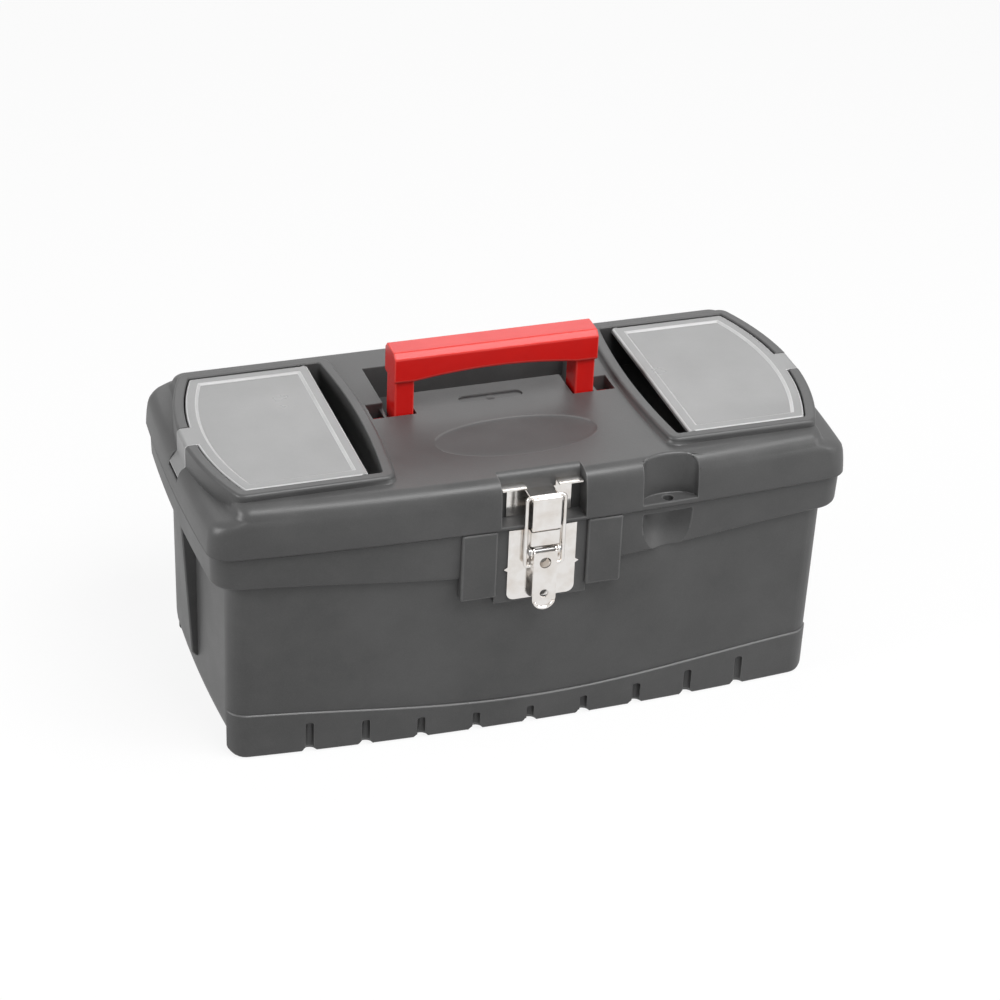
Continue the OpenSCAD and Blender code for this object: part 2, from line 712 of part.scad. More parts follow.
module lid() {
    color(plastic) difference() {
        union() {
            difference() {
                lid_body(0, lid_z, top_z);
                lid_body(wall, lid_z - over, deck_z);
            }
            both_sides() bin_walls();
            well_walls();
            scoop_backing();
            intersection() {
                lid_body(0, lid_z, top_z);
                union() {
                    block([-recess_hw - wall, wall/2 - half_d, lid_z],
                          [recess_hw + wall, recess_y + wall, deck_z + over]);
                    eye_block(wall/2 - eye_front, lid_z, deck_z + over);
                }
            }
            for (side = [-1, 1]) translate([side*hinge_x, 0, 0]) lid_knuckle();
        }
        both_sides() bin_space();
        well_space();
        block([-recess_hw, -half_d - over, recess_floor], [recess_hw, recess_y, top_z + over]);
        eye_space();
        translate([eye_x, eye_y, lid_z - over]) cylinder(r = eye_r, h = ledge_t + 2*over);
        y_bar(shank_r + run_fit, recess_y - over, recess_y + wall + over, 0, keeper_rivet_z);
        for (side = [-1, 1]) x_bar(hinge_pin_r + run_fit, side*hinge_x - knuckle_l,
                                   side*hinge_x + knuckle_l, hinge_y, parting_z);
        top_marks();
    }
}

module handle() {
    arch_hl = leg_in;
    arch_r = (arch_hl*arch_hl + grip_arch*grip_arch)/(2*max(grip_arch, 0.01));
    under = grip_z - grip_h;
    color(handle_colour) {
        difference() {
            side_slab([[grip_front, under], [grip_front + grip_d, under],
                       [grip_front + grip_d, grip_z - grip_chamfer],
                       [grip_front + grip_d - grip_chamfer, grip_z], [grip_front + grip_chamfer, grip_z],
                       [grip_front, grip_z - grip_chamfer]], -grip_hl, grip_hl);
            y_bar(arch_r, grip_front - over, grip_front + grip_d + over, 0, under + grip_arch - arch_r);
        }
        both_sides() {
            block([leg_in, pivot_y - leg_d/2, pivot_z], [leg_out, pivot_y + leg_d/2, under + sink]);
            x_bar(leg_d/2, leg_in, leg_out, pivot_y, pivot_z);
            x_bar(stub_r, leg_out - sink, well_hw + web_t + pocket_w - side_fit, pivot_y, pivot_z);
        }
    }
}

// Right cover; the left one is its mirror image
module cover() {
    pin_reach = cover_hd + cover_gap + cover_pin_l;
    under = cover_z - cover_t;
    color(cover_colour) {
        difference() {
            translate([0, 0, under]) linear_extrude(cover_t) polygon(bay(cover_in, 0, 0, cover_r0));
            translate([0, 0, cover_z - border_h]) linear_extrude(cover_t)
                polygon(bay(cover_in + cover_border, 0, -cover_border, cover_r0));
        }
        y_bar(barrel_r, cover_y - cover_hd, cover_y + cover_hd, cover_pin_x, cover_pin_z);
        y_bar(cover_pin_r, cover_y - pin_reach, cover_y + pin_reach, cover_pin_x, cover_pin_z);
        front_slab([[cover_out, under], [tab_x - strap_t, under], [tab_x - strap_t, tab_z + tab_lip],
                    [tab_x - strap_t + tab_lip, tab_z], [tab_x + tab_lip, tab_z],
                    [tab_x, tab_z + tab_lip + strap_t], [tab_x, cover_z - strap_t/2],
                    [tab_x - strap_t/2, cover_z], [cover_out, cover_z]],
                   cover_y - tab_w/2, cover_y + tab_w/2);
    }
}

module right_cover() {
    cover();
}

module left_cover() {
    mirror([1, 0, 0]) cover();
}

// Rounded rectangle about the origin
module round_rect(hl, hd, r) {
    polygon(concat(arc(hl - r, hd - r, r, 0, 90, corner_steps),
                   arc(r - hl, hd - r, r, 90, 180, corner_steps),
                   arc(r - hl, r - hd, r, 180, 270, corner_steps),
                   arc(hl - r, r - hd, r, 270, 360, corner_steps)));
}

// Lift-out tray with a grip bridge along its middle
module tray() {
    hl = tub_l(tray_z) - wall - tray_gap;
    hd = tray_hd;
    r = corner_r + tray_gap;
    bridge = tray_h/3;
    color(plastic) {
        difference() {
            translate([0, 0, tray_z]) linear_extrude(tray_h) round_rect(hl, hd, r);
            translate([0, 0, tray_z + tray_wall]) linear_extrude(tray_h)
                round_rect(hl - tray_wall, hd - tray_wall, r - tray_wall);
        }
        difference() {
            block([sink - hl, -tray_wall, tray_z + sink], [hl - sink, tray_wall, tray_z + tray_h]);
            block([-hl/4, -hd, tray_z + 2*tray_wall], [hl/4, hd, tray_z + tray_h - bridge]);
        }
    }
}

// Base plate with two ears for the lever's pin and a raised bridge above it
module latch_base() {
    ear_r = pin_r + 2*barrel_t;
    corner = plate_w/9;
    hw = plate_w/2;
    outline = concat([[hw, plate_top], [-hw, plate_top]],
                     arc(corner - hw, plate_low + corner, corner, 180, 270, corner_steps),
                     arc(hw - corner, plate_low + corner, corner, 270, 360, corner_steps));
    color(steel) difference() {
        union() {
            front_slab(outline, plate_y, seat_y);
            both_sides() {
                x_bar(ear_r, ear_in, ear_out, pin_y, pin_z);
                block([ear_in, pin_y, pin_z - ear_r], [ear_out, plate_y + sheet/2, pin_z + ear_r]);
                block([hw - sink, plate_y, plate_low + barb_z],
                      [hw + barb, seat_y, plate_low + barb_z + barb]);
                block([ear_in, hat_y, hat_z], [ear_out, plate_y + sheet/2, plate_top]);
            }
            block([-ear_out, hat_y, hat_z], [ear_out, hat_y + sheet, plate_top]);
        }
        x_bar(pin_r + run_fit, -hw, hw, pin_y, pin_z);
        for (z = rivet_zs) y_bar(shank_r + run_fit, plate_y - over, seat_y + over, 0, z);
    }
}

module latch_pin() {
    head_t = 2*sheet/3;
    color(steel) {
        x_bar(pin_r, -ear_out - head_t, ear_out + head_t, pin_y, pin_z);
        both_sides() x_bar(pin_r + barrel_t, ear_out + run_fit, ear_out + head_t, pin_y, pin_z);
    }
}

// Lever: front plate with two cheeks at the top and a curled lip at the bottom
module latch_lever() {
    hw = lever_w/2;
    low = pin_z - lever_l;
    back_y = lever_y + sheet;
    color(steel) difference() {
        union() {
            block([-hw, lever_y, low], [hw, back_y, pin_z + lever_top]);
            both_sides() {
                x_bar(cheek_r, hw - sheet, hw, pin_y, pin_z);
                block([hw - sheet, lever_y, anchor_z - cheek_r], [hw, pin_y + cheek_r - sheet, pin_z]);
            }
            difference() {
                x_bar(lever_curl, -hw, hw, back_y - lever_curl, low);
                x_bar(lever_curl - sheet, -hw - over, hw + over, back_y - lever_curl, low);
                block([-hw - over, back_y - 3*lever_curl, low],
                      [hw + over, back_y + over, low + 2*lever_curl]);
            }
        }
        x_bar(pin_r + run_fit, -hw - over, hw + over, pin_y, pin_z);
        x_bar(bail_r + run_fit, -hw - over, hw + over, pin_y, anchor_z);
        y_bar(rivet_r + side_fit, lever_y - over, back_y + over, 0, rivet_zs[0]);
        y_bar(rivet_r - side_fit, lever_y - over, back_y + over, 0, rivet_zs[1]);
    }
}

// Wire bail: two legs, a crossbar on top and two ends turned in to the lever
module latch_bail() {
    hw = bail_w/2;
    bend = (bail_w - tongue_w)/2;
    tip = lever_w/2 - sheet;
    color(steel) {
        both_sides() {
            translate([hw, pin_y, anchor_z]) cylinder(r = bail_r, h = bail_l - bend);
            translate([hw, pin_y, anchor_z]) sphere(r = bail_r);
            x_bar(bail_r, tip, hw, pin_y, anchor_z);
            translate([hw - bend, pin_y, bar_z - bend]) rotate([90, 0, 0])
                rotate_extrude(angle = 90) translate([bend, 0]) circle(r = bail_r);
        }
        x_bar(bail_r, bend - hw, hw - bend, pin_y, bar_z);
    }
}

// Keeper: plate with two eared arms, a shelf under the crossbar and a tongue hanging in front
module latch_keeper() {
    hw = keeper_w/2;
    t_hw = tongue_w/2;
    low = recess_floor + hook_gap;
    high = shelf_top + keeper_ear;
    arm_in = t_hw + sheet;
    half = [[hw - keeper_ear, low], [hw - keeper_ear, high - keeper_ear/2], [hw, high - sheet], [hw, high],
            [arm_in, high], [arm_in, shelf_top]];
    other = [for (i = [len(half) - 1:-1:0]) [-half[i][0], half[i][1]]];
    color(steel) difference() {
        union() {
            front_slab(concat(half, other), recess_y - sheet, recess_y);
            both_sides() block([arm_in, recess_y - ear_d, high - sheet], [hw, recess_y, high]);
            block([-t_hw, tongue_y - sheet, shelf_top - sheet], [t_hw, recess_y, shelf_top]);
            block([-t_hw, tongue_y - sheet, parting_z], [t_hw, tongue_y, shelf_top + hook_lip]);
        }
        y_bar(shank_r + run_fit, recess_y - sheet - over, recess_y + over, 0, keeper_rivet_z);
    }
}

// Rivet through a sheet and a wall, with its head at the front
module rivet(x, z, y0, y1) {
    head_t = 1;
    y_bar(rivet_r, y0 - head_t, y0, x, z);
    y_bar(shank_r, y0 - head_t/2, y1 + head_t/2, x, z);
    y_bar(rivet_r, y1, y1 + head_t, x, z);
}

module latch_rivets() {
    color(steel) for (z = rivet_zs) rivet(0, z, plate_y, wall + run_fit - tub_d(z - rivet_r));
}

module keeper_rivet() {
    color(steel) rivet(0, keeper_rivet_z, recess_y - sheet, recess_y + wall);
}

// Pin of one rear hinge
module hinge_pin(side) {
    reach = knuckle_l/2 + side_fit + lug_l;
    color(steel) x_bar(hinge_pin_r, side*hinge_x - reach, side*hinge_x + reach, hinge_y, parting_z);
}

module left_hinge_pin() {
    hinge_pin(-1);
}

module right_hinge_pin() {
    hinge_pin(1);
}

tub();
lid();
handle();
left_cover();
right_cover();
tray();
latch_base();
latch_pin();
latch_lever();
latch_bail();
latch_keeper();
latch_rivets();
keeper_rivet();
left_hinge_pin();
right_hinge_pin();
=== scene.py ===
import logging
import math
from dataclasses import dataclass
from enum import Enum
from typing import Any, Callable, Sequence

import bmesh
import bpy
from mathutils import Matrix, Vector
from mathutils.bvhtree import BVHTree


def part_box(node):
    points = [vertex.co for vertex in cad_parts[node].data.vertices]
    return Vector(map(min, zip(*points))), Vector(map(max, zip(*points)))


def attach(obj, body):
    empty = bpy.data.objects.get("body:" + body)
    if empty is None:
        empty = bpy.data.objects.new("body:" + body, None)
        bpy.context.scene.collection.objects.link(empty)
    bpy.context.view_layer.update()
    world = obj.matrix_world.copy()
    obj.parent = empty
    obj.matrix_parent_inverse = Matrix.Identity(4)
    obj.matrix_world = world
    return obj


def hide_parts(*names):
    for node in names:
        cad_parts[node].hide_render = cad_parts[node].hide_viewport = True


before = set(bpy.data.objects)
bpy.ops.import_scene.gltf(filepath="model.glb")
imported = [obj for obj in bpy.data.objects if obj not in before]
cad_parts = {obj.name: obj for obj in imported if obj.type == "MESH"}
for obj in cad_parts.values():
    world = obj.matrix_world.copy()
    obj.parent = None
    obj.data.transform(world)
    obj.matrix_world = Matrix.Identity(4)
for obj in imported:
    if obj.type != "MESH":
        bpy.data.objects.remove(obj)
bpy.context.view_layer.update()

log = logging.getLogger("tool_box")
MM = 0.001
# Places in front of and above the box, in millimetres, where cutters may end
FRONT_AIR = -120.0
TOP_AIR = 200.0
# Points of a new shape that are nearer than this, in metres, are one point
WELD = 1e-6
# The same for a shape whose edges get rounded, and for a seam that passes near a point
MELT = 2e-5
SEAM_SNAP = 2e-6
# Faces that lie within this angle, in degrees, become one before edges are rounded
LEVEL = 0.06
# Share of a rounding's width by which it may stray from the old surface, and how often it is tried
STRAY = 0.9
TRIES = 7
Point = tuple[float, float, float]
Flat = tuple[float, float]
Ring = list[Point]
Colour = tuple[float, float, float, float]
Shape = bpy.types.Object
Tree = bpy.types.NodeTree
Socket = bpy.types.NodeSocket


class Operation(Enum):
    """How one solid changes another."""

    JOIN = "UNION"
    CUT = "DIFFERENCE"
    KEEP = "INTERSECT"


class Axis(Enum):
    """Direction in which an outline is drawn out."""

    X = 0
    Y = 1
    Z = 2


class Side(Enum):
    """Which end of the box a piece belongs to."""

    LEFT = -1
    RIGHT = 1


@dataclass(frozen=True)
class BoxSizes:
    """Sizes in millimetres that several pieces share.

    The box is centred on x = 0, its front faces -y and the floor is z = 0.
    """

    half_l: float = 209.0
    half_d: float = 98.0
    parting: float = 150.0
    lid_low: float = 150.3
    lip_top: float = 154.0
    deck: float = 182.5
    frame_top: float = 187.0
    bow: float = 9.0
    end_bow: float = 4.0
    corner: float = 14.0
    wall: float = 2.5
    base_l: float = 196.0
    base_d: float = 88.0
    wall_l: float = 197.0
    wall_d: float = 93.5
    band_l: float = 207.0
    band_d: float = 96.0
    end_step: float = 7.5
    step_low: float = 128.0
    step_high: float = 138.0
    back_corner: float = 36.0
    band_low: float = 116.0
    skirt_top: float = 20.5
    skirt_step: float = 1.5
    smile: float = 12.0
    end_round: float = 24.0
    seat_y: float = -95.0
    seat_hw: float = 29.0
    recess_hw: float = 27.0
    recess_y: float = -85.0
    recess_floor: float = 152.8
    eye_x: float = 83.0
    eye_y: float = -91.08
    eye_r: float = 3.3
    eye_hw: float = 18.0
    eye_back: float = -85.58
    eye_round: float = 8.0
    eye_cyl_r: float = 20.23
    eye_cyl_y: float = -105.81
    hinge_x: float = 120.0
    hinge_y: float = 103.5
    knuckle_r: float = 4.5
    hinge_bore: float = 2.05
    cover_in: float = 103.6
    cover_hd: float = 71.0
    cover_r: float = 181.08
    cover_cx: float = 13.82
    cover_y: float = 1.5
    cover_top: float = 186.5
    cover_gap: float = 0.8
    bin_in: float = 95.0
    bin_bow: float = 4.5
    frame_w: float = 7.0
    pin_y: float = -99.5
    pin_z: float = 134.0
    sheet: float = 1.2

    def tub_l(self, z: float) -> float:
        """Half length of the tub's wall at a height, with its step behind the rim band."""
        return self.base_l + (self.wall_l - self.base_l) * z / self.parting + self.end_step * self.stepped(z)

    def stepped(self, z: float) -> float:
        """Share of the step below the rim band that is passed at a height."""
        return min(max((z - self.step_low) / (self.step_high - self.step_low), 0.0), 1.0)

    def back_at(self, z: float) -> float:
        """Radius of the tub's back corners at a height."""
        return self.back_corner + (self.corner - self.back_corner) * self.stepped(z)

    def tub_d(self, z: float) -> float:
        """Half depth of the tub's wall at a height."""
        return self.base_d + (self.wall_d - self.base_d) * z / self.parting

    def rise(self, x: float) -> float:
        """Rise of the curved band edges at a place along the front."""
        share = min(abs(x), self.half_l) / self.half_l
        return self.smile / 2 * (1 - math.cos(math.pi * share))

    def end_at(self, y: float, hl: float, hd: float) -> float:
        """End of a bowed outline at a place along its depth."""
        return hl - self.end_bow * (y / hd) ** 2

    def front_at(self, x: float, hl: float, hd: float) -> float:
        """Front of a bowed outline at a place along its length."""
        return self.bow * (x / hl) ** 2 - hd

    def plan(self, hl: float, hd: float, r: float, rear: float = 0.0,
             steps: int = 44, turn: int = 9) -> list[Flat]:
        """Plan outline with a bowed front, bowed ends, round corners and a straight back.

        Args:
            hl: Half length at the middle of the ends.
            hd: Half depth at the middle of the front.
            r: Corner radius.
            rear: Radius of the back corners, or 0 if it is the same.
            steps: Points along the bowed front, twice those along an end.
            turn: Points round a corner.

        Returns:
            The outline's points, anticlockwise from above.
        """
        lean = math.atan(2 * self.bow * (hl - r) / hl ** 2)
        tilt = math.atan(2 * self.end_bow * (hd - r) / hd ** 2)
        q = rear or r
        turned = math.atan(2 * self.end_bow * (hd - q) / hd ** 2)
        low = self.front_at(hl - r, hl, hd) + r * (math.cos(lean) - math.sin(tilt))
        high = hd - q + q * math.sin(turned)
        front_x = self.end_at(low, hl, hd) - r * math.cos(tilt)
        back_x = self.end_at(high, hl, hd) - q * math.cos(turned)
        reach = front_x + r * math.sin(lean)
        front_y = self.front_at(reach, hl, hd) + r * math.cos(lean)
        places = [low + (high - low) * 2 * i / steps for i in range(1, steps // 2)]
        end = [(self.end_at(y, hl, hd), y) for y in places]
        a, e, f = (math.degrees(angle) for angle in (lean, tilt, turned))
        places = [reach * (2 * i / steps - 1) for i in range(1, steps)]
        points = [(x, self.front_at(x, hl, hd)) for x in places]
        points += arc(front_x, front_y, r, a - 90, -e, turn) + end
        points += arc(back_x, hd - q, q, f, 90, turn) + arc(-back_x, hd - q, q, 90, 180 - f, turn)
        points += [(-x, y) for x, y in reversed(end)]
        return points + arc(-front_x, front_y, r, 180 + e, 270 - a, turn)

    def bay(self, inner: float, bow: float, g: float, r: float, steps: int = 28, turn: int = 6) -> list[Flat]:
        """Outline of a cover or bin on the right, with an arc at its outer end.

        Args:
            inner: Place of its inner edge.
            bow: How far the inner edge bows towards the middle.
            g: How far the other edges stand outside the cover's edge.
            r: Corner radius.
            steps: Points along the arc and along the inner edge.
            turn: Points round a corner.

        Returns:
            The outline's points, anticlockwise from above.
        """
        half = self.cover_hd + g - r
        reach = math.sqrt((self.cover_r + g - r) ** 2 - half ** 2)
        xc = self.cover_cx + reach
        a = math.degrees(math.atan2(half, reach))
        y = self.cover_y
        points = arc(xc, y - half, r, -90, -a, turn)
        points += arc(self.cover_cx, y, self.cover_r + g, -a, a, steps)[1:-1]
        points += arc(xc, y + half, r, a, 90, turn)
        points += arc(inner + r, y + half, r, 90, 180, turn)
        for i in range(1, steps):
            t = 1 - 2 * i / steps
            points.append((inner - bow * (1 - t * t), y + t * half))
        return points + arc(inner + r, y - half, r, 180, 270, turn)


SIZES = BoxSizes()


def arc(cx: float, cy: float, r: float, start: float, end: float, steps: int) -> list[Flat]:
    """Points of an arc, angles in degrees, both ends included."""
    turns = [math.radians(start + (end - start) * i / steps) for i in range(steps + 1)]
    return [(cx + r * math.cos(a), cy + r * math.sin(a)) for a in turns]


def circle(steps: int, cx: float = 0.0, cy: float = 0.0, r: float = 1.0) -> list[Flat]:
    """Points of a whole circle."""
    return arc(cx, cy, r, 0, 360, steps)[:-1]


def at(outline: Sequence[Flat], z: float) -> Ring:
    """Outline lifted to a height."""
    return [(x, y, z) for x, y in outline]


def linked(name: str, data: bpy.types.ID) -> Shape:
    """New object that is part of the scene.

    Args:
        name: Name of the object.
        data: Its mesh, lamp or camera.

    Returns:
        The new object.
    """
    shape = bpy.data.objects.new(name, data)
    bpy.context.scene.collection.objects.link(shape)
    return shape


def solid(points: Sequence[Point], faces: Sequence[Sequence[int]]) -> Shape:
    """Closed mesh object from points in millimetres.

    Args:
        points: Corner points.
        faces: Point numbers of each face.

    Returns:
        The new object, with its faces pointing outwards.
    """
    mesh = bpy.data.meshes.new("solid")
    mesh.from_pydata([Vector(p) * MM for p in points], [], faces)
    bm = bmesh.new()
    bm.from_mesh(mesh)
    bmesh.ops.remove_doubles(bm, verts=bm.verts, dist=WELD)
    bmesh.ops.recalc_face_normals(bm, faces=bm.faces)
    bm.to_mesh(mesh)
    bm.free()
    return linked("solid", mesh)


def loft(rings: Sequence[Ring], closed: bool = False, strip: bool = False) -> Shape:
    """Solid through rings with equal numbers of points.

    Args:
        rings: The rings in order.
        closed: Whether the last ring joins the first, as on a frame.
        strip: Whether the end faces are strips between a ring's two halves.

    Returns:
        The new object.
    """
    n, m = len(rings[0]), len(rings)
    points = [p for ring in rings for p in ring]
    faces: list[Sequence[int]] = []
    for k in range(m if closed else m - 1):
        low, high = k * n, (k + 1) % m * n
        for i in range(n):
            j = (i + 1) % n
            faces.append((low + i, low + j, high + j, high + i))
    if not closed:
        for base in (0, (m - 1) * n):
            if strip:
                for i in range(n // 2 - 1):
                    faces.append((base + i, base + i + 1, base + n - 2 - i, base + n - 1 - i))
            else:
                faces.append(tuple(base + i for i in range(n)))
    return solid(points, faces)


def slab(outline: Sequence[Flat], axis: Axis, low: float, high: float) -> Shape:
    """Outline drawn out along an axis.

    Args:
        outline: Points in the two other directions, in the order x, y, z.
        axis: Direction in which it is drawn out.
        low: Lower end.
        high: Upper end.

    Returns:
        The new object.
    """
    def place(a: float, b: float, c: float) -> Point:
        """Point with its coordinates in order."""
        return [(c, a, b), (a, c, b), (a, b, c)][axis.value]

    return loft([[place(a, b, c) for a, b in outline] for c in (low, high)])


def block(low: Point, high: Point) -> Shape:
    """Box from its lowest and highest corners."""
    outline = [(low[0], low[1]), (high[0], low[1]), (high[0], high[1]), (low[0], high[1])]
    return slab(outline, Axis.Z, low[2], high[2])


def rod(r: float, low: float, high: float, a: float, b: float, axis: Axis, steps: int = 32) -> Shape:
    """Round bar along an axis, centred on the two other coordinates."""
    return slab(circle(steps, a, b, r), axis, low, high)


def hinge_rod(r: float, middle: float, half: float) -> Shape:
    """Round bar on the lid's hinge axis, round a place along the back."""
    return rod(r, middle - half, middle + half, SIZES.hinge_y, SIZES.parting, Axis.X)


def path_tube(points: Sequence[Point], r: float, steps: int = 16) -> Shape:
    """Round wire along an open path of points.

    Args:
        points: Centre line.
        r: Radius of the wire.
        steps: Points round the wire.

    Returns:
        The new object.
    """
    line = [Vector(p) for p in points]
    side = Vector((0, 1, 0))
    rings = []
    for i, here in enumerate(line):
        along = (line[min(i + 1, len(line) - 1)] - line[max(i - 1, 0)]).normalized()
        across = (side - along * side.dot(along)).normalized()
        other = along.cross(across)
        rings.append([tuple(here + (across * c + other * s) * r) for c, s in circle(steps)])
    return loft(rings)


def revolve(profile: Sequence[Flat], steps: int = 24) -> Shape:
    """Turned shape about the z axis from radius and height pairs, closed at both ends."""
    return loft([[(r * c, r * s, z) for c, s in circle(steps)] for r, z in profile])


def mirrored(shape: Shape) -> Shape:
    """Copy of a shape on the other end of the box.

    Args:
        shape: The shape.

    Returns:
        The copy, with its faces pointing outwards.
    """
    copy = linked(shape.name, shape.data.copy())
    copy.data.transform(Matrix.Scale(-1, 4, (1, 0, 0)))
    copy.data.flip_normals()
    return copy


def both(shape: Shape) -> tuple[Shape, Shape]:
    """Copy of a shape on the other end of the box, and the shape."""
    return mirrored(shape), shape


def drop(shape: Shape) -> None:
    """Removes a shape and its mesh.

    Args:
        shape: The shape.
    """
    mesh = shape.data
    bpy.data.objects.remove(shape)
    bpy.data.meshes.remove(mesh)


def evaluated(shape: Shape) -> bpy.types.Mesh:
    """New mesh of a shape with its modifiers, which are taken off it.

    Args:
        shape: The shape.

    Returns:
        The new mesh.
    """
    mesh = bpy.data.meshes.new_from_object(shape.evaluated_get(bpy.context.evaluated_depsgraph_get()))
    shape.modifiers.clear()
    return mesh


def remesh(shape: Shape, mesh: bpy.types.Mesh) -> None:
    """Gives a shape another mesh and removes its old one.

    Args:
        shape: The shape.
        mesh: Its new mesh.
    """
    old = shape.data
    shape.data = mesh
    bpy.data.meshes.remove(old)


def combine(base: Shape, operation: Operation, *others: Shape) -> Shape:
    """Joins, cuts or keeps a solid by others, which are used up.

    Args:
        base: The solid that changes.
        operation: What the others do to it.
        *others: The other solids.

    Returns:
        The changed solid.
    """
    for other in others:
        before = (len(base.data.vertices), len(base.data.polygons))
        for solver in ("MANIFOLD", "EXACT"):
            modifier = base.modifiers.new("solid", "BOOLEAN")
            modifier.object = other
            modifier.operation = operation.value
            modifier.solver = solver
            mesh = evaluated(base)
            if len(mesh.vertices) and (len(mesh.vertices), len(mesh.polygons)) != before:
                break
            log.warning("%s of %s did nothing with %s", operation.name, other.name, solver)
        remesh(base, mesh)
        drop(other)
    return base


def joined(first: Shape, *others: Shape) -> Shape:
    """Union of several solids."""
    return combine(first, Operation.JOIN, *others)


def cut(base: Shape, *others: Shape) -> Shape:
    """Solid without several others."""
    return combine(base, Operation.CUT, *others)


def soften(
    shape: Shape,
    width: float,
    segments: int = 2,
    angle: float = 30.0,
    where: Callable[[Vector], bool] = lambda p: True,
    seams: Sequence[tuple[Axis, float]] = (),
) -> Shape:
    """Rounds a solid's sharp outer edges and marks the rounded faces for edge wear and a painted edge
    highlight.

    Edges whose rounding would stray from the surface stay sharp.

    Args:
        shape: The solid.
        width: Width of the rounding in millimetres.
        segments: Faces across the rounding.
        angle: Least angle between two faces in degrees.
        where: Test of an edge's middle, in millimetres.
        seams: Planes through openings, which keep every flat face free of holes.

    Returns:
        The same solid.
    """
    bm = bmesh.new()
    bm.from_mesh(shape.data)
    if bm.faces.layers.float.get("edge_wear") is None:
        bm.faces.layers.float.new("edge_wear")
    bmesh.ops.remove_doubles(bm, verts=bm.verts, dist=MELT)
    bmesh.ops.dissolve_degenerate(bm, edges=bm.edges, dist=MELT)
    for axis, place in seams:
        normal = Vector((0, 0, 0))
        normal[axis.value] = 1
        parts = bmesh.ops.bisect_plane(
            bm, geom=bm.verts[:] + bm.edges[:] + bm.faces[:], dist=SEAM_SNAP,
            plane_co=normal * place * MM, plane_no=normal)
        for part in parts["geom_cut"]:
            if isinstance(part, bmesh.types.BMEdge):
                part.seam = True
    bmesh.ops.dissolve_limit(
        bm, angle_limit=math.radians(LEVEL), verts=bm.verts, edges=bm.edges, delimit={"SEAM"})
    bm.edges.index_update()
    tree = BVHTree.FromBMesh(bm)
    chosen = set()
    for edge in bm.edges:
        if edge.is_manifold and edge.is_convex and edge.calc_face_angle() > math.radians(angle):
            if where((edge.verts[0].co + edge.verts[1].co) / 2 / MM):
                chosen.add(edge.index)
    total = len(chosen)
    for attempt in range(TRIES):
        trial = bm.copy()
        trial.edges.ensure_lookup_table()
        made = bmesh.ops.bevel(
            trial, geom=[trial.edges[i] for i in chosen], offset=width * MM, offset_type="OFFSET",
            segments=segments, profile=0.5, affect="EDGES", clamp_overlap=False, loop_slide=True, material=-1)
        # Rounded faces are marked to be painted paler: partly rubbed wear, partly a painted highlight along
        # the edge.
        layer = trial.faces.layers.float["edge_wear"]
        for face in made["faces"]:
            face[layer] = 1.0
        bad = [v.co.copy() for v in trial.verts if tree.find_nearest(v.co)[3] > STRAY * width * MM]
        if not bad or attempt == TRIES - 1:
            break
        trial.free()
        bm.edges.ensure_lookup_table()
        reach = (2.0 + attempt) * width * MM
        for i in list(chosen):
            a, b = (v.co for v in bm.edges[i].verts)
            line = b - a
            for p in bad:
                t = max(0.0, min(1.0, (p - a).dot(line) / max(line.length_squared, 1e-18)))
                if (a + line * t - p).length < reach:
                    chosen.discard(i)
                    break
    log.info("%s: %d of %d edges rounded by %.2f mm", shape.name, len(chosen), total, width)
    trial.to_mesh(shape.data)
    trial.free()
    bm.free()
    return shape


def shade(shape: Shape, angle: float = 38.0, weight: int = 60) -> None:
    """Smooth shading up to an angle, weighted by the size of the faces.

    Args:
        shape: The shape.
        angle: Greatest smooth angle between two faces in degrees.
        weight: How much larger faces count, 50 is even.
    """
    mesh = shape.data
    mesh.shade_smooth()
    mesh.set_sharp_from_angle(angle=math.radians(angle))
    modifier = shape.modifiers.new("face_normals", "WEIGHTED_NORMAL")
    modifier.keep_sharp = True
    modifier.weight = weight


def linear(code: str) -> Colour:
    """Linear colour of an sRGB hex value such as #4d4d4d."""
    parts = [int(code[i:i + 2], 16) / 255 for i in (1, 3, 5)]
    return tuple(c / 12.92 if c <= 0.04045 else ((c + 0.055) / 1.055) ** 2.4 for c in parts) + (1.0,)


def add_node(tree: Tree, kind: str, links: dict[Any, Any] | None = None, **settings: Any) -> bpy.types.Node:
    """Adds a node with its settings and links.

    Args:
        tree: Tree that gets the node.
        kind: Node type.
        links: Sockets that feed its inputs, or values of them, by name or number.
        **settings: Properties of the node.

    Returns:
        The new node.
    """
    node = tree.nodes.new(kind)
    for name, value in settings.items():
        setattr(node, name, value)
    for key, value in (links or {}).items():
        if isinstance(value, bpy.types.NodeSocket):
            tree.links.new(value, node.inputs[key])
        else:
            node.inputs[key].default_value = value
    return node


def bare_tree(owner: bpy.types.Material | bpy.types.World) -> Tree:
    """Emptied node tree of a material or world.

    Args:
        owner: The material or world.

    Returns:
        The tree, without nodes.
    """
    owner.use_nodes = True
    owner.node_tree.nodes.clear()
    return owner.node_tree


def calc(tree: Tree, operation: str, *values: Any, clamp: bool = False) -> Socket:
    """Result of a sum on sockets or numbers."""
    node = add_node(tree, "ShaderNodeMath", dict(enumerate(values)), operation=operation, use_clamp=clamp)
    return node.outputs[0]


def noise(tree: Tree, place: Socket, scale: float, detail: float = 3.0, rough: float = 0.5) -> Socket:
    """Value of a noise at a place."""
    links = {"Vector": place, "Scale": scale, "Detail": detail, "Roughness": rough}
    return add_node(tree, "ShaderNodeTexNoise", links).outputs[0]


def spread(tree: Tree, value: Socket, span: Flat, onto: Flat) -> Socket:
    """Value carried from one span of numbers onto another."""
    return add_node(tree, "ShaderNodeMapRange", dict(enumerate((value, *span, *onto)))).outputs[0]


def tint(tree: Tree, share: Socket, first: Any, second: Any) -> Socket:
    """Colour between two others."""
    return add_node(tree, "ShaderNodeMix", {0: share, 6: first, 7: second}, data_type="RGBA").outputs[2]


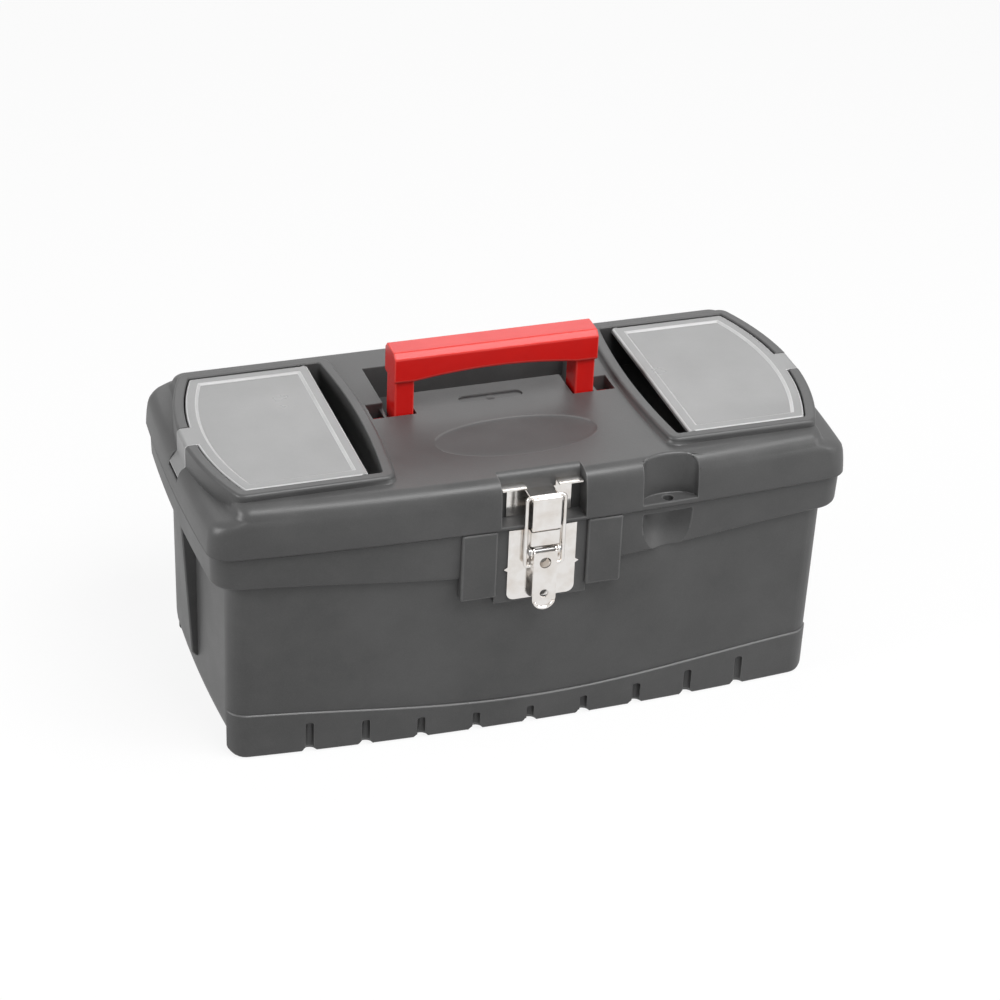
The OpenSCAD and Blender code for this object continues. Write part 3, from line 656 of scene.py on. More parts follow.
@dataclass(frozen=True)
class Moulded:
    """Finish of a moulded plastic.

    Attributes:
        name: Common name of the material and how its surface was made.
        colour: Main colour.
        dull: Colour of its duller patches.
        worn_and_highlight: Colour of rubbed edges, which also paints a highlight along them.
        roughness: Lowest and highest roughness.
        grain: Size of the mould's grain in millimetres.
        relief: Height of the grain in millimetres.
        coat: Weight of the glossy skin.
        clear: Share of light that passes through.
        gloss: Strength of its reflections, 0.5 is usual.
        patch: Size of its duller patches in millimetres.
    """

    name: str
    colour: str
    dull: str
    worn_and_highlight: str
    roughness: Flat
    grain: float
    relief: float
    coat: float = 0.0
    clear: float = 0.0
    gloss: float = 0.5
    patch: float = 55.0

    def material(self) -> bpy.types.Material:
        """Builds the material.

        Returns:
            The new material.
        """
        material = bpy.data.materials.new(self.name)
        tree = bare_tree(material)
        place = add_node(tree, "ShaderNodeTexCoord").outputs["Object"]
        patches = noise(tree, place, 1000 / self.patch, 5.0, 0.6)
        grain = noise(tree, place, 1000 / self.grain)
        dust = spread(tree, patches, (0.35, 0.7), (0.0, 0.8))
        fleck = spread(tree, grain, (0.4, 0.75), (0.0, 0.25))
        base = tint(tree, calc(tree, "ADD", dust, fleck, clamp=True), linear(self.colour), linear(self.dull))
        # Marked edge faces are painted in the pale edge colour: partly rubbed wear, partly a painted
        # highlight.
        edge = add_node(tree, "ShaderNodeAttribute", attribute_name="edge_wear", attribute_type="GEOMETRY")
        rub_and_highlight = calc(tree, "MULTIPLY", edge.outputs["Fac"], patches)
        links = {"Height": grain, "Strength": 0.6, "Distance": self.relief * MM}
        bump = add_node(tree, "ShaderNodeBump", links)
        shader = add_node(tree, "ShaderNodeBsdfPrincipled", {
            "Base Color": tint(tree, rub_and_highlight, base, linear(self.worn_and_highlight)),
            "Roughness": spread(tree, patches, (0.3, 0.7), self.roughness),
            "Normal": bump.outputs[0],
            "IOR": 1.49,
            "Specular IOR Level": self.gloss,
            "Coat Weight": self.coat,
            "Coat Roughness": 0.08,
            "Transmission Weight": self.clear})
        add_node(tree, "ShaderNodeOutputMaterial", {"Surface": shader.outputs[0]})
        return material


@dataclass(frozen=True)
class Metal:
    """Finish of a metal piece.

    Attributes:
        name: Common name of the material and how its surface was made.
        colour: Main colour.
        stain: Colour of its faint stains.
        roughness: Lowest and highest roughness.
        streak: Length and width of its drawing marks in millimetres.
        cloud: Size of its stains in millimetres.
    """

    name: str
    colour: str
    stain: str
    roughness: Flat
    streak: Flat
    cloud: float = 12.0

    def material(self) -> bpy.types.Material:
        """Builds the material.

        Returns:
            The new material.
        """
        material = bpy.data.materials.new(self.name)
        tree = bare_tree(material)
        place = add_node(tree, "ShaderNodeTexCoord").outputs["Object"]
        long, fine = (1000 / size for size in self.streak)
        drawn = add_node(tree, "ShaderNodeMapping", {"Vector": place, "Scale": (fine, fine, long)})
        marks = noise(tree, drawn.outputs[0], 1.0)
        share = spread(tree, noise(tree, place, 1000 / self.cloud), (0.45, 0.75), (0.0, 0.6))
        bump = add_node(tree, "ShaderNodeBump", {"Height": marks, "Strength": 0.15, "Distance": 0.02 * MM})
        shader = add_node(tree, "ShaderNodeBsdfPrincipled", {
            "Base Color": tint(tree, share, linear(self.colour), linear(self.stain)),
            "Roughness": spread(tree, marks, (0.3, 0.7), self.roughness),
            "Normal": bump.outputs[0],
            "Metallic": 1.0})
        add_node(tree, "ShaderNodeOutputMaterial", {"Surface": shader.outputs[0]})
        return material


class Finish(Enum):
    """Finishes of the box's pieces."""

    # Polypropylene from a spark-eroded mould: a dull charcoal with a fine even grain and paler edges, partly
    # rubbed wear and partly a painted highlight
    CHARCOAL = Moulded(
        "polypropylene_grained_charcoal", "#474747", "#565656", "#6c6c6c", (0.34, 0.48), 0.9, 0.10)
    # Polypropylene from a polished mould: strong red with soft reflections, faint waves from the cooling and
    # paler edges, partly rubbed wear and partly a painted highlight
    RED = Moulded(
        "polypropylene_polished_red", "#da1813", "#d01411", "#ee5049", (0.20, 0.28), 6.0, 0.05,
        coat=0.1, gloss=0.32)
    # Milky polypropylene: an even grey with a satin skin, a little clear, with pale edges that are mostly a
    # painted highlight
    FROSTED = Moulded(
        "polypropylene_frosted_grey", "#9a9a9a", "#929292", "#ececec", (0.26, 0.36), 0.8, 0.015, clear=0.12)
    # Nickel plated pressed sheet: bright, almost a mirror, with warm reflections
    NICKEL = Metal("steel_bright_nickel_plated", "#f2efec", "#dcd3c9", (0.10, 0.20), (6.0, 0.4))
    # Drawn steel wire cut to length: greyer and duller than the plated sheet
    DRAWN = Metal("steel_drawn_zinc_plated", "#b9babb", "#9c9a96", (0.26, 0.40), (8.0, 0.3))


class Paints:
    """Materials made once each and shared by the pieces."""

    def __init__(self) -> None:
        """Starts with no material."""
        self.made: dict[Finish, bpy.types.Material] = {}

    def get(self, finish: Finish) -> bpy.types.Material:
        """Material of a finish.

        Args:
            finish: The finish.

        Returns:
            Its material, made now or earlier.
        """
        if finish not in self.made:
            self.made[finish] = finish.value.material()
        return self.made[finish]

    def dress(self, shape: Shape, finish: Finish) -> None:
        """Gives a whole shape one finish.

        Args:
            shape: The shape.
            finish: Its finish.
        """
        shape.data.materials.clear()
        shape.data.materials.append(self.get(finish))


PAINTS = Paints()


def settle(shape: Shape, name: str, body: str, finish: Finish, slot: str, *nodes: str) -> None:
    """Names a finished piece, dresses it, fixes it to its body and shades it.

    Args:
        shape: The piece.
        name: Its name.
        body: Body that it moves with.
        finish: Its finish.
        slot: Name of a material slot, not used.
        *nodes: CAD nodes that it stands for.
    """
    shape.name = name
    shape.data.name = name
    PAINTS.dress(shape, finish)
    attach(shape, body)
    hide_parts(*nodes)
    log.info("%s: %d faces on %s", name, len(shape.data.polygons), body)
    shade(shape)


class RowTree:
    """Geometry Nodes tree that repeats a shape along a bowed and rising row."""

    def __init__(self) -> None:
        """Builds the tree with its named inputs."""
        tree = bpy.data.node_groups.new("row_along_front", "GeometryNodeTree")
        self.tree = tree
        inputs = {"Shape": "Object", "Count": "Int", "First": "Vector", "Step": "Vector", "Bow": "Float",
                  "Rise": "Float", "Half Length": "Float", "Material": "Material"}
        for name, kind in inputs.items():
            tree.interface.new_socket(name, in_out="INPUT", socket_type=f"NodeSocket{kind}")
        tree.interface.new_socket("Geometry", in_out="OUTPUT", socket_type="NodeSocketGeometry")
        given = add_node(tree, "NodeGroupInput").outputs
        links = {"Count": given["Count"], "Start Location": given["First"], "Offset": given["Step"]}
        row = add_node(tree, "GeometryNodeMeshLine", links, mode="OFFSET")
        place = add_node(tree, "GeometryNodeInputPosition").outputs[0]
        x = add_node(tree, "ShaderNodeSeparateXYZ", {0: place}).outputs[0]
        share = calc(tree, "DIVIDE", x, given["Half Length"])
        back = calc(tree, "MULTIPLY", calc(tree, "POWER", share, 2.0), given["Bow"])
        wave = calc(tree, "COSINE", calc(tree, "MULTIPLY", share, math.pi))
        high = calc(tree, "MULTIPLY", calc(tree, "SUBTRACT", 1.0, wave), given["Rise"])
        shift = add_node(tree, "ShaderNodeCombineXYZ", {1: back, 2: high}).outputs[0]
        placed = add_node(tree, "GeometryNodeSetPosition", {"Geometry": row.outputs[0], "Offset": shift})
        links = {"Object": given["Shape"]}
        info = add_node(tree, "GeometryNodeObjectInfo", links, transform_space="ORIGINAL")
        links = {"Points": placed.outputs[0], "Instance": info.outputs["Geometry"]}
        copies = add_node(tree, "GeometryNodeInstanceOnPoints", links)
        real = add_node(tree, "GeometryNodeRealizeInstances", {0: copies.outputs[0]})
        links = {"Geometry": real.outputs[0], "Material": given["Material"]}
        dressed = add_node(tree, "GeometryNodeSetMaterial", links)
        add_node(tree, "NodeGroupOutput", {"Geometry": dressed.outputs[0]})

    def row(self, shape: Shape, count: int, first: Point, step: Point, finish: Finish,
            bow: float = 0.0, rise: float = 0.0) -> Shape:
        """Repeats a shape, which is used up.

        Args:
            shape: Shape drawn round the origin.
            count: How many there are.
            first: Place of the first one in millimetres.
            step: Way from each to the next in millimetres.
            finish: Finish of the copies.
            bow: How far the row's ends stand back in millimetres.
            rise: Half the height by which its ends rise in millimetres.

        Returns:
            One plain mesh object with all the copies.
        """
        holder = linked("row", bpy.data.meshes.new("row"))
        modifier = holder.modifiers.new("row", "NODES")
        modifier.node_group = self.tree
        values = {
            "Shape": shape, "Count": count, "First": Vector(first) * MM, "Step": Vector(step) * MM,
            "Bow": bow * MM, "Rise": rise * MM, "Half Length": SIZES.half_l * MM,
            "Material": PAINTS.get(finish)}
        for item in self.tree.interface.items_tree:
            if item.name in values:
                modifier[item.identifier] = values[item.name]
        bpy.context.view_layer.update()
        remesh(holder, evaluated(holder))
        drop(shape)
        return holder


ROWS = RowTree()


@dataclass
class Tub:
    """Lower moulding with its rim band, notched feet, end ribs, latch seat and hinge lugs."""

    floor: float = 3.0
    foot_depth: float = 16.0
    foot_round: float = 11.0
    notch_count: int = 9
    notch_pitch: float = 35.9
    notch_r: float = 2.5
    notch_in: float = 0.7
    notch_drop: float = 7.8
    notch_dome: float = 1.6
    pad_low: float = 103.0
    pad_in: float = 29.0
    pad_out: float = 52.0
    pad_y: float = -97.5
    pad_back: float = -86.0
    seat_low: float = 97.0
    rib_hw: float = 9.0
    rib_low: float = 32.0
    rib_top: float = 147.0
    ledge_x: Flat = (186.5, 195.5)
    ledge_hd: float = 38.0
    ledge_z: float = 109.7
    ledge_t: float = 2.5
    eye_low: float = 120.2
    eye_wall: float = -83.0
    eye_gap: Flat = (22.0, -80.5)
    latch_gap: Flat = (31.0, -80.0)
    bore_hl: float = 22.0
    lug_l: float = 10.0
    lug_drop: float = 16.0
    knuckle_hl: float = 10.3

    def body(self, g: float, low: float, high: float) -> Shape:
        """Drafted body, drawn in by g, between two heights.

        Args:
            g: How far its walls stand in from the outer ones.
            low: Lower end.
            high: Upper end.

        Returns:
            The body as a solid.
        """
        turn = SIZES.end_round
        heights = [low + turn * (1 - math.cos(math.radians(a))) for a in range(0, 91, 9)]
        rings = []
        for z in heights + [60.0, 105.0, SIZES.step_low, SIZES.step_high, high]:
            inset = turn - math.sqrt(turn ** 2 - max(turn - (z - low), 0.0) ** 2)
            hl = SIZES.tub_l(z) - inset - g
            d = SIZES.tub_d(z) - g
            rings.append(at(SIZES.plan(hl, d, SIZES.corner - g, SIZES.back_at(z) - g), z))
        return loft(rings)

    def rim_band(self) -> Shape:
        """Raised band under the lid with a rounded, curved lower edge.

        Returns:
            The band as a closed ring.
        """
        # Inset from the end and from the front, lift, and whether that is over the parting or the lower edge
        rows = [(11.5, 3.7, 1.0, 0), (10.2, 2.7, 0.0, 0), (3.8, 1.2, 0.0, 0), (2.4, 0.6, 0.2, 0),
                (1.2, 0.22, 0.75, 0), (0.35, 0.05, 1.7, 0), (0.0, 0.0, 3.0, 0), (0.0, 0.0, 13.0, 0),
                (0.0, 0.0, -0.7, 1), (0.2, 0.2, -0.2, 1), (0.7, 0.7, 0.0, 1), (4.0, 3.7, 0.0, 1)]
        draft = SIZES.wall_d - SIZES.base_d
        rings = []
        for end, face, lift, top in rows:
            ring = []
            rear = SIZES.back_corner if end > 10 else SIZES.corner
            for x, y in SIZES.plan(SIZES.band_l - end, SIZES.band_d - face, SIZES.corner, rear):
                z = SIZES.parting + lift if top else SIZES.band_low + SIZES.rise(x) + lift
                lean = draft * (1 - z / SIZES.parting)
                ring.append((x - math.copysign(lean, x) * (x / SIZES.band_l) ** 2,
                             y - math.copysign(lean, y) * min(1.0, abs(y) / 80), z))
            rings.append(ring)
        return loft(rings, closed=True)

    def foot(self, back: bool) -> Shape:
        """Foot rail along the front or back with rounded ends and a raised upper edge.

        Args:
            back: Whether it is the rail at the back.

        Returns:
            The rail as a solid.
        """
        side = 1 if back else -1
        line = side * (SIZES.base_d - self.foot_depth)
        rear = SIZES.back_corner if back else SIZES.corner
        first = SIZES.plan(SIZES.base_l, SIZES.base_d + SIZES.skirt_step, SIZES.corner, rear)
        picked = [i for i, p in enumerate(first) if side * p[1] > abs(line) + 0.4]
        picked.sort(key=lambda i: first[i][0])
        # Inset, lift, and whether that is over the upper edge or the floor
        rows = [(1.6, 0.0, 0), (0.5, 0.45, 0), (0.0, 1.6, 0),
                (0.0, -0.9, 1), (0.3, -0.25, 1), (0.9, 0.0, 1), (2.6, 0.25, 1)]
        # How far inwards of the rail's tip the back corner has its centre
        inwards = 30.0
        rings = []
        for inset, lift, top in rows:
            level = SIZES.skirt_top if top else 0.0
            d = SIZES.tub_d(level) + SIZES.skirt_step - inset
            hl = SIZES.tub_l(level) + 0.5 - inset
            flat = SIZES.plan(hl, d, SIZES.corner - inset, rear - inset)
            outer = [flat[i] for i in picked]
            reach = SIZES.end_at(line, hl, d)
            if back:
                reach = outer[-1][0] + (outer[-1][1] - line) * (line - d + rear) / inwards
            tip = [(math.copysign(reach, outer[e][0]), line) for e in (0, -1)]
            outer = [tip[0]] + outer + [tip[1]]
            ring = []
            for x, y in outer + [(x, line) for x, y in reversed(outer)]:
                over = min(max(abs(x) - (SIZES.base_l - self.foot_round), 0.0), self.foot_round)
                low = self.foot_round - math.sqrt(self.foot_round ** 2 - over ** 2)
                ring.append((x, y, SIZES.skirt_top + SIZES.rise(x) + lift if top else low + lift))
            rings.append(ring)
        return loft(rings, strip=True)

    def notches(self, back: bool) -> list[Shape]:
        """Rows of round notch cutters along a foot and of the flares at their lower ends.

        Args:
            back: Whether they are for the rail at the back.

        Returns:
            The two rows, each one object.
        """
        top, r, h = SIZES.skirt_top - self.notch_drop, self.notch_r, self.notch_dome
        dome = [(r * c, top - h + h * s) for c, s in arc(0, 0, 1, 0, 75, 5)]
        cutter = revolve([(r, -20.0)] + dome + [(0.2, top)])
        flare = revolve([(r + 2.6, -4.0), (r + 2.2, 0.2), (r + 0.6, 2.6), (0.2, 4.2)])
        reach = SIZES.base_d + SIZES.skirt_step - self.notch_in
        first = (-self.notch_pitch * (self.notch_count - 1) / 2, reach if back else -reach, 0.0)
        step, bow = (self.notch_pitch, 0, 0), 0.0 if back else SIZES.bow
        return [ROWS.row(cutter, self.notch_count, first, step, Finish.CHARCOAL, bow, SIZES.smile / 2),
                ROWS.row(flare, self.notch_count, first, step, Finish.CHARCOAL, bow)]

    def end_rib(self) -> Shape:
        """Rounded rib down the middle of the right end.

        Returns:
            The rib as a solid.
        """
        out, low, top, band = SIZES.tub_l(self.rib_low), self.rib_low, self.rib_top, SIZES.band_l
        outline = [(out - 2, low), (out + 1, low), (out + 4, low + 3.5),
                   (band, top - 3), (band - 3, top), (SIZES.wall_l - 2, top)]
        return soften(slab(outline, Axis.Y, -self.rib_hw, self.rib_hw), 1.2, 3)

    def hollow(self) -> Shape:
        """Cutter for the hollow under the padlock eye, which runs out at its lower end.

        Returns:
            The cutter.
        """
        # Height and how far the cutter stands forward there
        rows = [(118.9, 6.1), (121, 5.2), (124, 3.9), (127.5, 2.3), (131, 0.9), (134, 0.2), (138, 0),
                (145, 0), (146, 0.6)]
        x, y, r = SIZES.eye_x, SIZES.eye_cyl_y, SIZES.eye_cyl_r
        return loft([at(circle(96, x, y - forward, r), z) for z, forward in rows])

    def lug(self, low: float) -> Shape:
        """Hinge lug of the tub from a place along the back.

        Args:
            low: Its left end.

        Returns:
            The lug as a solid.
        """
        y, z, r, wall = SIZES.hinge_y, SIZES.parting, SIZES.knuckle_r, SIZES.wall_d
        foot, high = z - self.lug_drop, low + self.lug_l
        under = [(wall - 2, foot), (wall + 0.5, foot), (y + r - 1.2, z - r + 1.2), (y, z),
                 (wall - 2, z - 0.2)]
        return joined(slab(under, Axis.X, low, high), rod(r, low, high, y, z, Axis.X))

    def outside(self) -> Shape:
        """Solid form of the tub with its band, feet, ribs and the latch's seat.

        Returns:
            The form, not yet hollow.
        """
        shape = joined(self.body(0, 0.4, SIZES.lip_top), self.rim_band(), self.foot(False), self.foot(True))
        shape = joined(shape, *both(self.end_rib()))
        pad = block((self.pad_in, self.pad_y, self.pad_low), (self.pad_out, self.pad_back, SIZES.parting))
        shape = joined(shape, *both(soften(pad, 1.4, 3)))
        hw = self.pad_in + 1
        seat = block((-hw, SIZES.seat_y, self.seat_low), (hw, self.pad_back, SIZES.parting - 0.05))
        return joined(shape, seat)

    def build(self) -> None:
        """Builds the whole tub."""
        shape = cut(self.outside(), self.body(SIZES.wall, self.floor, SIZES.lip_top + 2))
        eye, hw = SIZES.eye_x, SIZES.eye_hw + SIZES.wall
        shape = joined(shape, block(
            (eye - hw, SIZES.eye_y + 1, self.eye_low), (eye + hw, self.eye_wall, SIZES.parting - 0.05)))
        for side in Side:
            low, high = sorted(side.value * x for x in self.ledge_x)
            ledge = block(
                (low, -self.ledge_hd, self.ledge_z - self.ledge_t), (high, self.ledge_hd, self.ledge_z))
            shape = joined(shape, ledge)
            for start in (-self.knuckle_hl - self.lug_l, self.knuckle_hl):
                shape = joined(shape, self.lug(side.value * SIZES.hinge_x + start))
        shape = cut(
            shape, *self.notches(False), *self.notches(True),
            block((-SIZES.seat_hw, FRONT_AIR, self.seat_low), (SIZES.seat_hw, SIZES.seat_y, TOP_AIR)),
            *(block((x - hw, FRONT_AIR, SIZES.parting), (x + hw, y, TOP_AIR))
              for x, (hw, y) in ((0, self.latch_gap), (eye, self.eye_gap))),
            self.hollow(),
            rod(SIZES.eye_r, SIZES.parting - 10, SIZES.parting + 2, eye, SIZES.eye_y, Axis.Z))
        for side in Side:
            x = side.value * SIZES.hinge_x
            shape = cut(shape, hinge_rod(SIZES.hinge_bore, x, self.bore_hl))
            shape = cut(shape, hinge_rod(SIZES.knuckle_r + 0.6, x, self.knuckle_hl))
        soften(shape, 0.6, 2, 34, lambda p: abs(p.x - eye) > 16 or not 115 < p.z < 130,
               seams=((Axis.X, 0.0), (Axis.X, eye), (Axis.Y, SIZES.hinge_y)))
        settle(shape, "tub_moulding", "tub", Finish.CHARCOAL, "body_plastic", "tub")


@dataclass
class Lid:
    """Upper moulding with two bins, the handle's well, a thumb scoop, the latch recess and the lock's pocket.

    What lies under the deck ends a little below it, so that its skin is the body's.
    """

    bin_floor: float = 157.5
    bin_low: float = 155.0
    frame_r: float = 7.0
    frame_round: float = 2.2
    frame_lip: float = 1.0
    cover_r0: float = 2.0
    apron_x: float = 173.4
    well_hw: float = 68.5
    well_front: float = 28.5
    well_back: float = 66.5
    well_z: float = 159.5
    boss_hw: float = 82.5
    boss_front: float = -0.75
    boss_low: float = 157.0
    slot_in: float = 52.0
    slot_y: Flat = (1.75, 19.75)
    web_out: float = 71.0
    web_top: float = 178.5
    pocket_out: float = 80.0
    pivot: Flat = (11.5, 172.0)
    stub_r: float = 4.05
    barrel: Flat = (106.2, 183.9)
    barrel_bore: float = 2.05
    barrel_over: float = 3.8
    scoop_y: float = -40.25
    scoop_size: Point = (53.0, 23.0, 3.0)
    mark_y: float = 11.5
    mark_t: float = 1.2
    mark_hl: float = 17.0
    mark_r: float = 4.0
    tab_hw: float = 11.05
    tab_x: float = 199.2
    tab_low: float = 162.0
    knuckle_hl: float = 10.0
    knuckle_rise: float = 14.0
    pocket_low: float = 154.3
    edge_round: float = 2.2
    skin: float = 0.6

    def body(self) -> Shape:
        """Rounded body with low shoulders at its ends.

        Returns:
            The body as a solid.
        """
        # Height, inset from the end and from the front, and share of the corner's radius
        profile = [
            (150.3, 0.7, 0.7, 1), (150.5, 0.2, 0.2, 1), (151.0, 0, 0, 1), (153.5, 0, 0, 1),
            (160, 0.4, 0.35, 1), (165, 1.0, 0.7, 1), (168, 1.9, 0.9, 1), (170.3, 3.5, 1.1, 1),
            (171.6, 5.2, 1.25, 0.95), (172.5, 7.4, 1.4, 0.9), (173.4, 10.2, 1.55, 0.8),
            (174.1, 13.0, 1.7, 0.7), (174.6, 15.0, 1.8, 0.68), (175.3, 16.4, 2.0, 0.65),
            (176.5, 17.2, 2.4, 0.62), (178.0, 17.7, 3.1, 0.6), (179.4, 18.1, 4.1, 0.6),
            (180.6, 18.6, 5.5, 0.6), (181.5, 19.2, 7.3, 0.6), (182.1, 20.0, 9.1, 0.6),
            (182.4, 20.8, 10.4, 0.6), (182.5, 21.8, 11.6, 0.6)]
        return loft([
            at(SIZES.plan(SIZES.half_l - end - 0.1, SIZES.half_d - face, SIZES.corner * r), z)
            for z, end, face, r in profile])

    def hollow(self) -> Shape:
        """Space under the lid.

        Returns:
            The cutter.
        """
        # Height, and inset from the end and from the front
        rows = [(145, 0, 0), (165, 1, 1), (168.5, 4, 1.6), (172, 15, 3), (177, 19, 6), (180, 21, 10.5)]
        rings = []
        for z, end, face in rows:
            d = SIZES.half_d - face - SIZES.wall
            rings.append(at(SIZES.plan(SIZES.half_l - end - SIZES.wall, d, 8.0, 8.0, 24, 4), z))
        return loft(rings)

    def bin_frame(self) -> Shape:
        """Raised frame round the right bin with rounded edges, and its apron at the outer end.

        Returns:
            The frame as a closed ring.
        """
        gap, width, bow = SIZES.cover_gap, SIZES.frame_w, SIZES.bin_bow
        inner = SIZES.bay(SIZES.bin_in, bow, gap, self.cover_r0)
        outer = SIZES.bay(SIZES.bin_in - width, bow, gap + width, self.frame_r)
        top, deck = SIZES.frame_top, SIZES.deck

        def ring(share: float, z: float, low: float) -> Ring:
            """Outline between the inner and outer edge, lower at the outer end.

            Args:
                share: Way from the inner edge, at 0, to the outer one, at 1.
                z: Height.
                low: Height at the outer end.

            Returns:
                The ring's points.
            """
            points = []
            for a, b in zip(inner, outer):
                x, y = (p + (q - p) * share for p, q in zip(a, b))
                points.append((x, y, low if b[0] > self.apron_x else z))
            return points

        def flat(share: float, z: float) -> Ring:
            """Outline at one height."""
            return ring(share, z, z)

        rings = [ring(1.30, deck - 0.7, 158), ring(1.16, deck + 0.25, 160), ring(1.06, deck + 1.0, 166),
                 ring(1.0, deck + 2.2, 174)]
        r, lip = self.frame_round, self.frame_lip
        for c, s in arc(0, 0, 1, 0, 90, 6):
            rings.append(flat(1 - r / width * (1 - c), top - r + r * s))
        for c, s in arc(0, 0, 1, 0, 88, 4):
            rings.append(flat(lip / width * (1 - s), top - lip + lip * c))
        rings += [ring(0.0, deck - 2, 158), ring(0.6, deck - 2, 156)]
        return loft(rings, closed=True)

    def bay_block(self, inner: float, g: float, r: float, low: float, high: float) -> Shape:
        """Bay outline raised between two heights."""
        return slab(SIZES.bay(inner, SIZES.bin_bow, g, r), Axis.Z, low, high)

    def tab_notch(self) -> Shape:
        """Notch in the right end for a cover's thumb tab.

        Returns:
            The cutter.
        """
        front, back = SIZES.cover_y - self.tab_hw, SIZES.cover_y + self.tab_hw
        well = block((self.tab_x, front, self.tab_low), (215, back, TOP_AIR))
        return joined(well, block((180, front, SIZES.cover_top - 2.4), (203, back, TOP_AIR)))

    def scoop(self) -> Shape:
        """Cutter for the shallow thumb scoop.

        Returns:
            The cutter.
        """
        a, b, depth = self.scoop_size
        rings = []
        for share in (1.06, 1.0, 0.985, 0.96, 0.92, 0.86, 0.78, 0.68, 0.56, 0.42, 0.28, 0.14, 0.02):
            z = SIZES.deck - depth * (1 - share ** 2) ** 0.55 if share <= 1 else SIZES.deck + 0.5
            rings.append([(a * share * c, self.scoop_y + b * share * s, z) for c, s in circle(72)])
        return loft(rings)

    def mark(self) -> Shape:
        """Cutter for the shallow long mark in front of the handle, with a small nub left in its middle.

        Returns:
            The cutter.
        """
        x, y, r, low = self.mark_hl, self.mark_y, self.mark_r, SIZES.deck - self.mark_t
        outline = arc(x, y, r, -90, 90, 10) + arc(-x, y, r, 90, 270, 10)
        nub = revolve([(3.4, -3.0), (3.4, 0.0), (2.9, 0.35), (1.6, 0.62), (0.1, 0.72)])
        nub.data.transform(Matrix.Translation(Vector((0, y, low)) * MM))
        return cut(slab(outline, Axis.Z, low, SIZES.deck + 2), nub)

    def pocket(self) -> Shape:
        """Cutter for the padlock pocket, with straight sides, a rounded back and a rounded upper edge.

        Returns:
            The cutter.
        """
        top, middle, r = SIZES.deck, SIZES.eye_back - SIZES.eye_round, self.edge_round
        profile = [(-0.4, self.pocket_low), (0.0, self.pocket_low + 0.4), (0.1, top - 2.8)]
        profile += [(0.1 + r * (1 - c), top - r + r * s) for c, s in arc(0, 0, 1, 0, 90, 6)[1:]]
        rings = []
        for g, z in profile + [(2.3, TOP_AIR)]:
            hw, deep = SIZES.eye_hw + 0.4 * g, SIZES.eye_round + g
            back = [(SIZES.eye_x + hw * c, middle + deep * s) for c, s in arc(0, 0, 1, 0, 180, 40)]
            rings.append(at([(SIZES.eye_x - hw, FRONT_AIR), (SIZES.eye_x + hw, FRONT_AIR)] + back, z))
        return loft(rings)

    def recess(self) -> Shape:
        """Cutter for the latch recess, with a broad rounding along its back upper edge.

        Returns:
            The cutter.
        """
        low, y, top, r = SIZES.recess_floor, SIZES.recess_y, SIZES.deck, 5
        outline = [(FRONT_AIR, low), (y, low)] + arc(y + r, top - r, r, 180, 90, 8)
        outline += [(y + r, TOP_AIR), (FRONT_AIR, TOP_AIR)]
        return slab(outline, Axis.X, -SIZES.recess_hw, SIZES.recess_hw)

    def knuckle(self, x: float) -> Shape:
        """Hinge knuckle of the lid round a place along the back.

        Args:
            x: Place of its middle.

        Returns:
            The knuckle as a solid.
        """
        y, z, r, wall, hl = SIZES.hinge_y, SIZES.parting, SIZES.knuckle_r, SIZES.half_d, self.knuckle_hl
        top = z + self.knuckle_rise
        over = [(wall - 3, z + 0.6), (y, z), (y + r - 1.2, z + r - 1.2), (wall - 0.5, top), (wall - 3, top)]
        return joined(slab(over, Axis.X, x - hl, x + hl), hinge_rod(r, x, hl))

    def inside_walls(self) -> list[Shape]:
        """Walls under the deck round the handle's well, the latch recess, the pocket and the scoop.

        Returns:
            The walls as solids.
        """
        low, high = SIZES.lid_low, SIZES.deck - self.skin
        a, b = self.scoop_size[:2]
        hw, eye = SIZES.recess_hw + SIZES.wall, SIZES.eye_x
        latch = [(-95.2, low), (-79, low), (-77, high), (-88.2, high), (-92, 180), (-94.6, 176.5)]
        lock = [(-94.7, low), (-83, low), (-81, high), (-86.2, high), (-90.3, 180), (-92.6, 176.5),
                (-94.2, 168)]
        return [
            block((-self.boss_hw, self.boss_front, self.boss_low),
                  (self.boss_hw, self.well_back + SIZES.wall, high)),
            slab(latch, Axis.X, -hw, hw),
            slab(lock, Axis.X, eye - 20.5, eye + 20.5),
            block((-a, self.scoop_y - b, SIZES.deck - 5.5), (a, self.scoop_y + b, high))]

    def handle_room(self) -> list[Shape]:
        """Cutters for the handle's well, and at each end for a leg's slot, a web and a stub's pocket.

        Returns:
            The cutters.
        """
        front, back = self.slot_y
        well = block((-self.well_hw, self.well_front, self.well_z), (self.well_hw, self.well_back, TOP_AIR))
        # Places along x and y, and the floor's height
        rooms = [(self.slot_in, self.well_hw, front, self.well_front + 1, self.well_z),
                 (self.well_hw - 0.5, self.web_out + 0.5, front, back, self.web_top),
                 (self.web_out, self.pocket_out, front, back, self.well_z)]
        cutters = [well]
        for side in Side:
            for a, b, y0, y1, z in rooms:
                low, high = sorted((side.value * a, side.value * b))
                cutters.append(block((low, y0, z), (high, y1, TOP_AIR)))
        return cutters

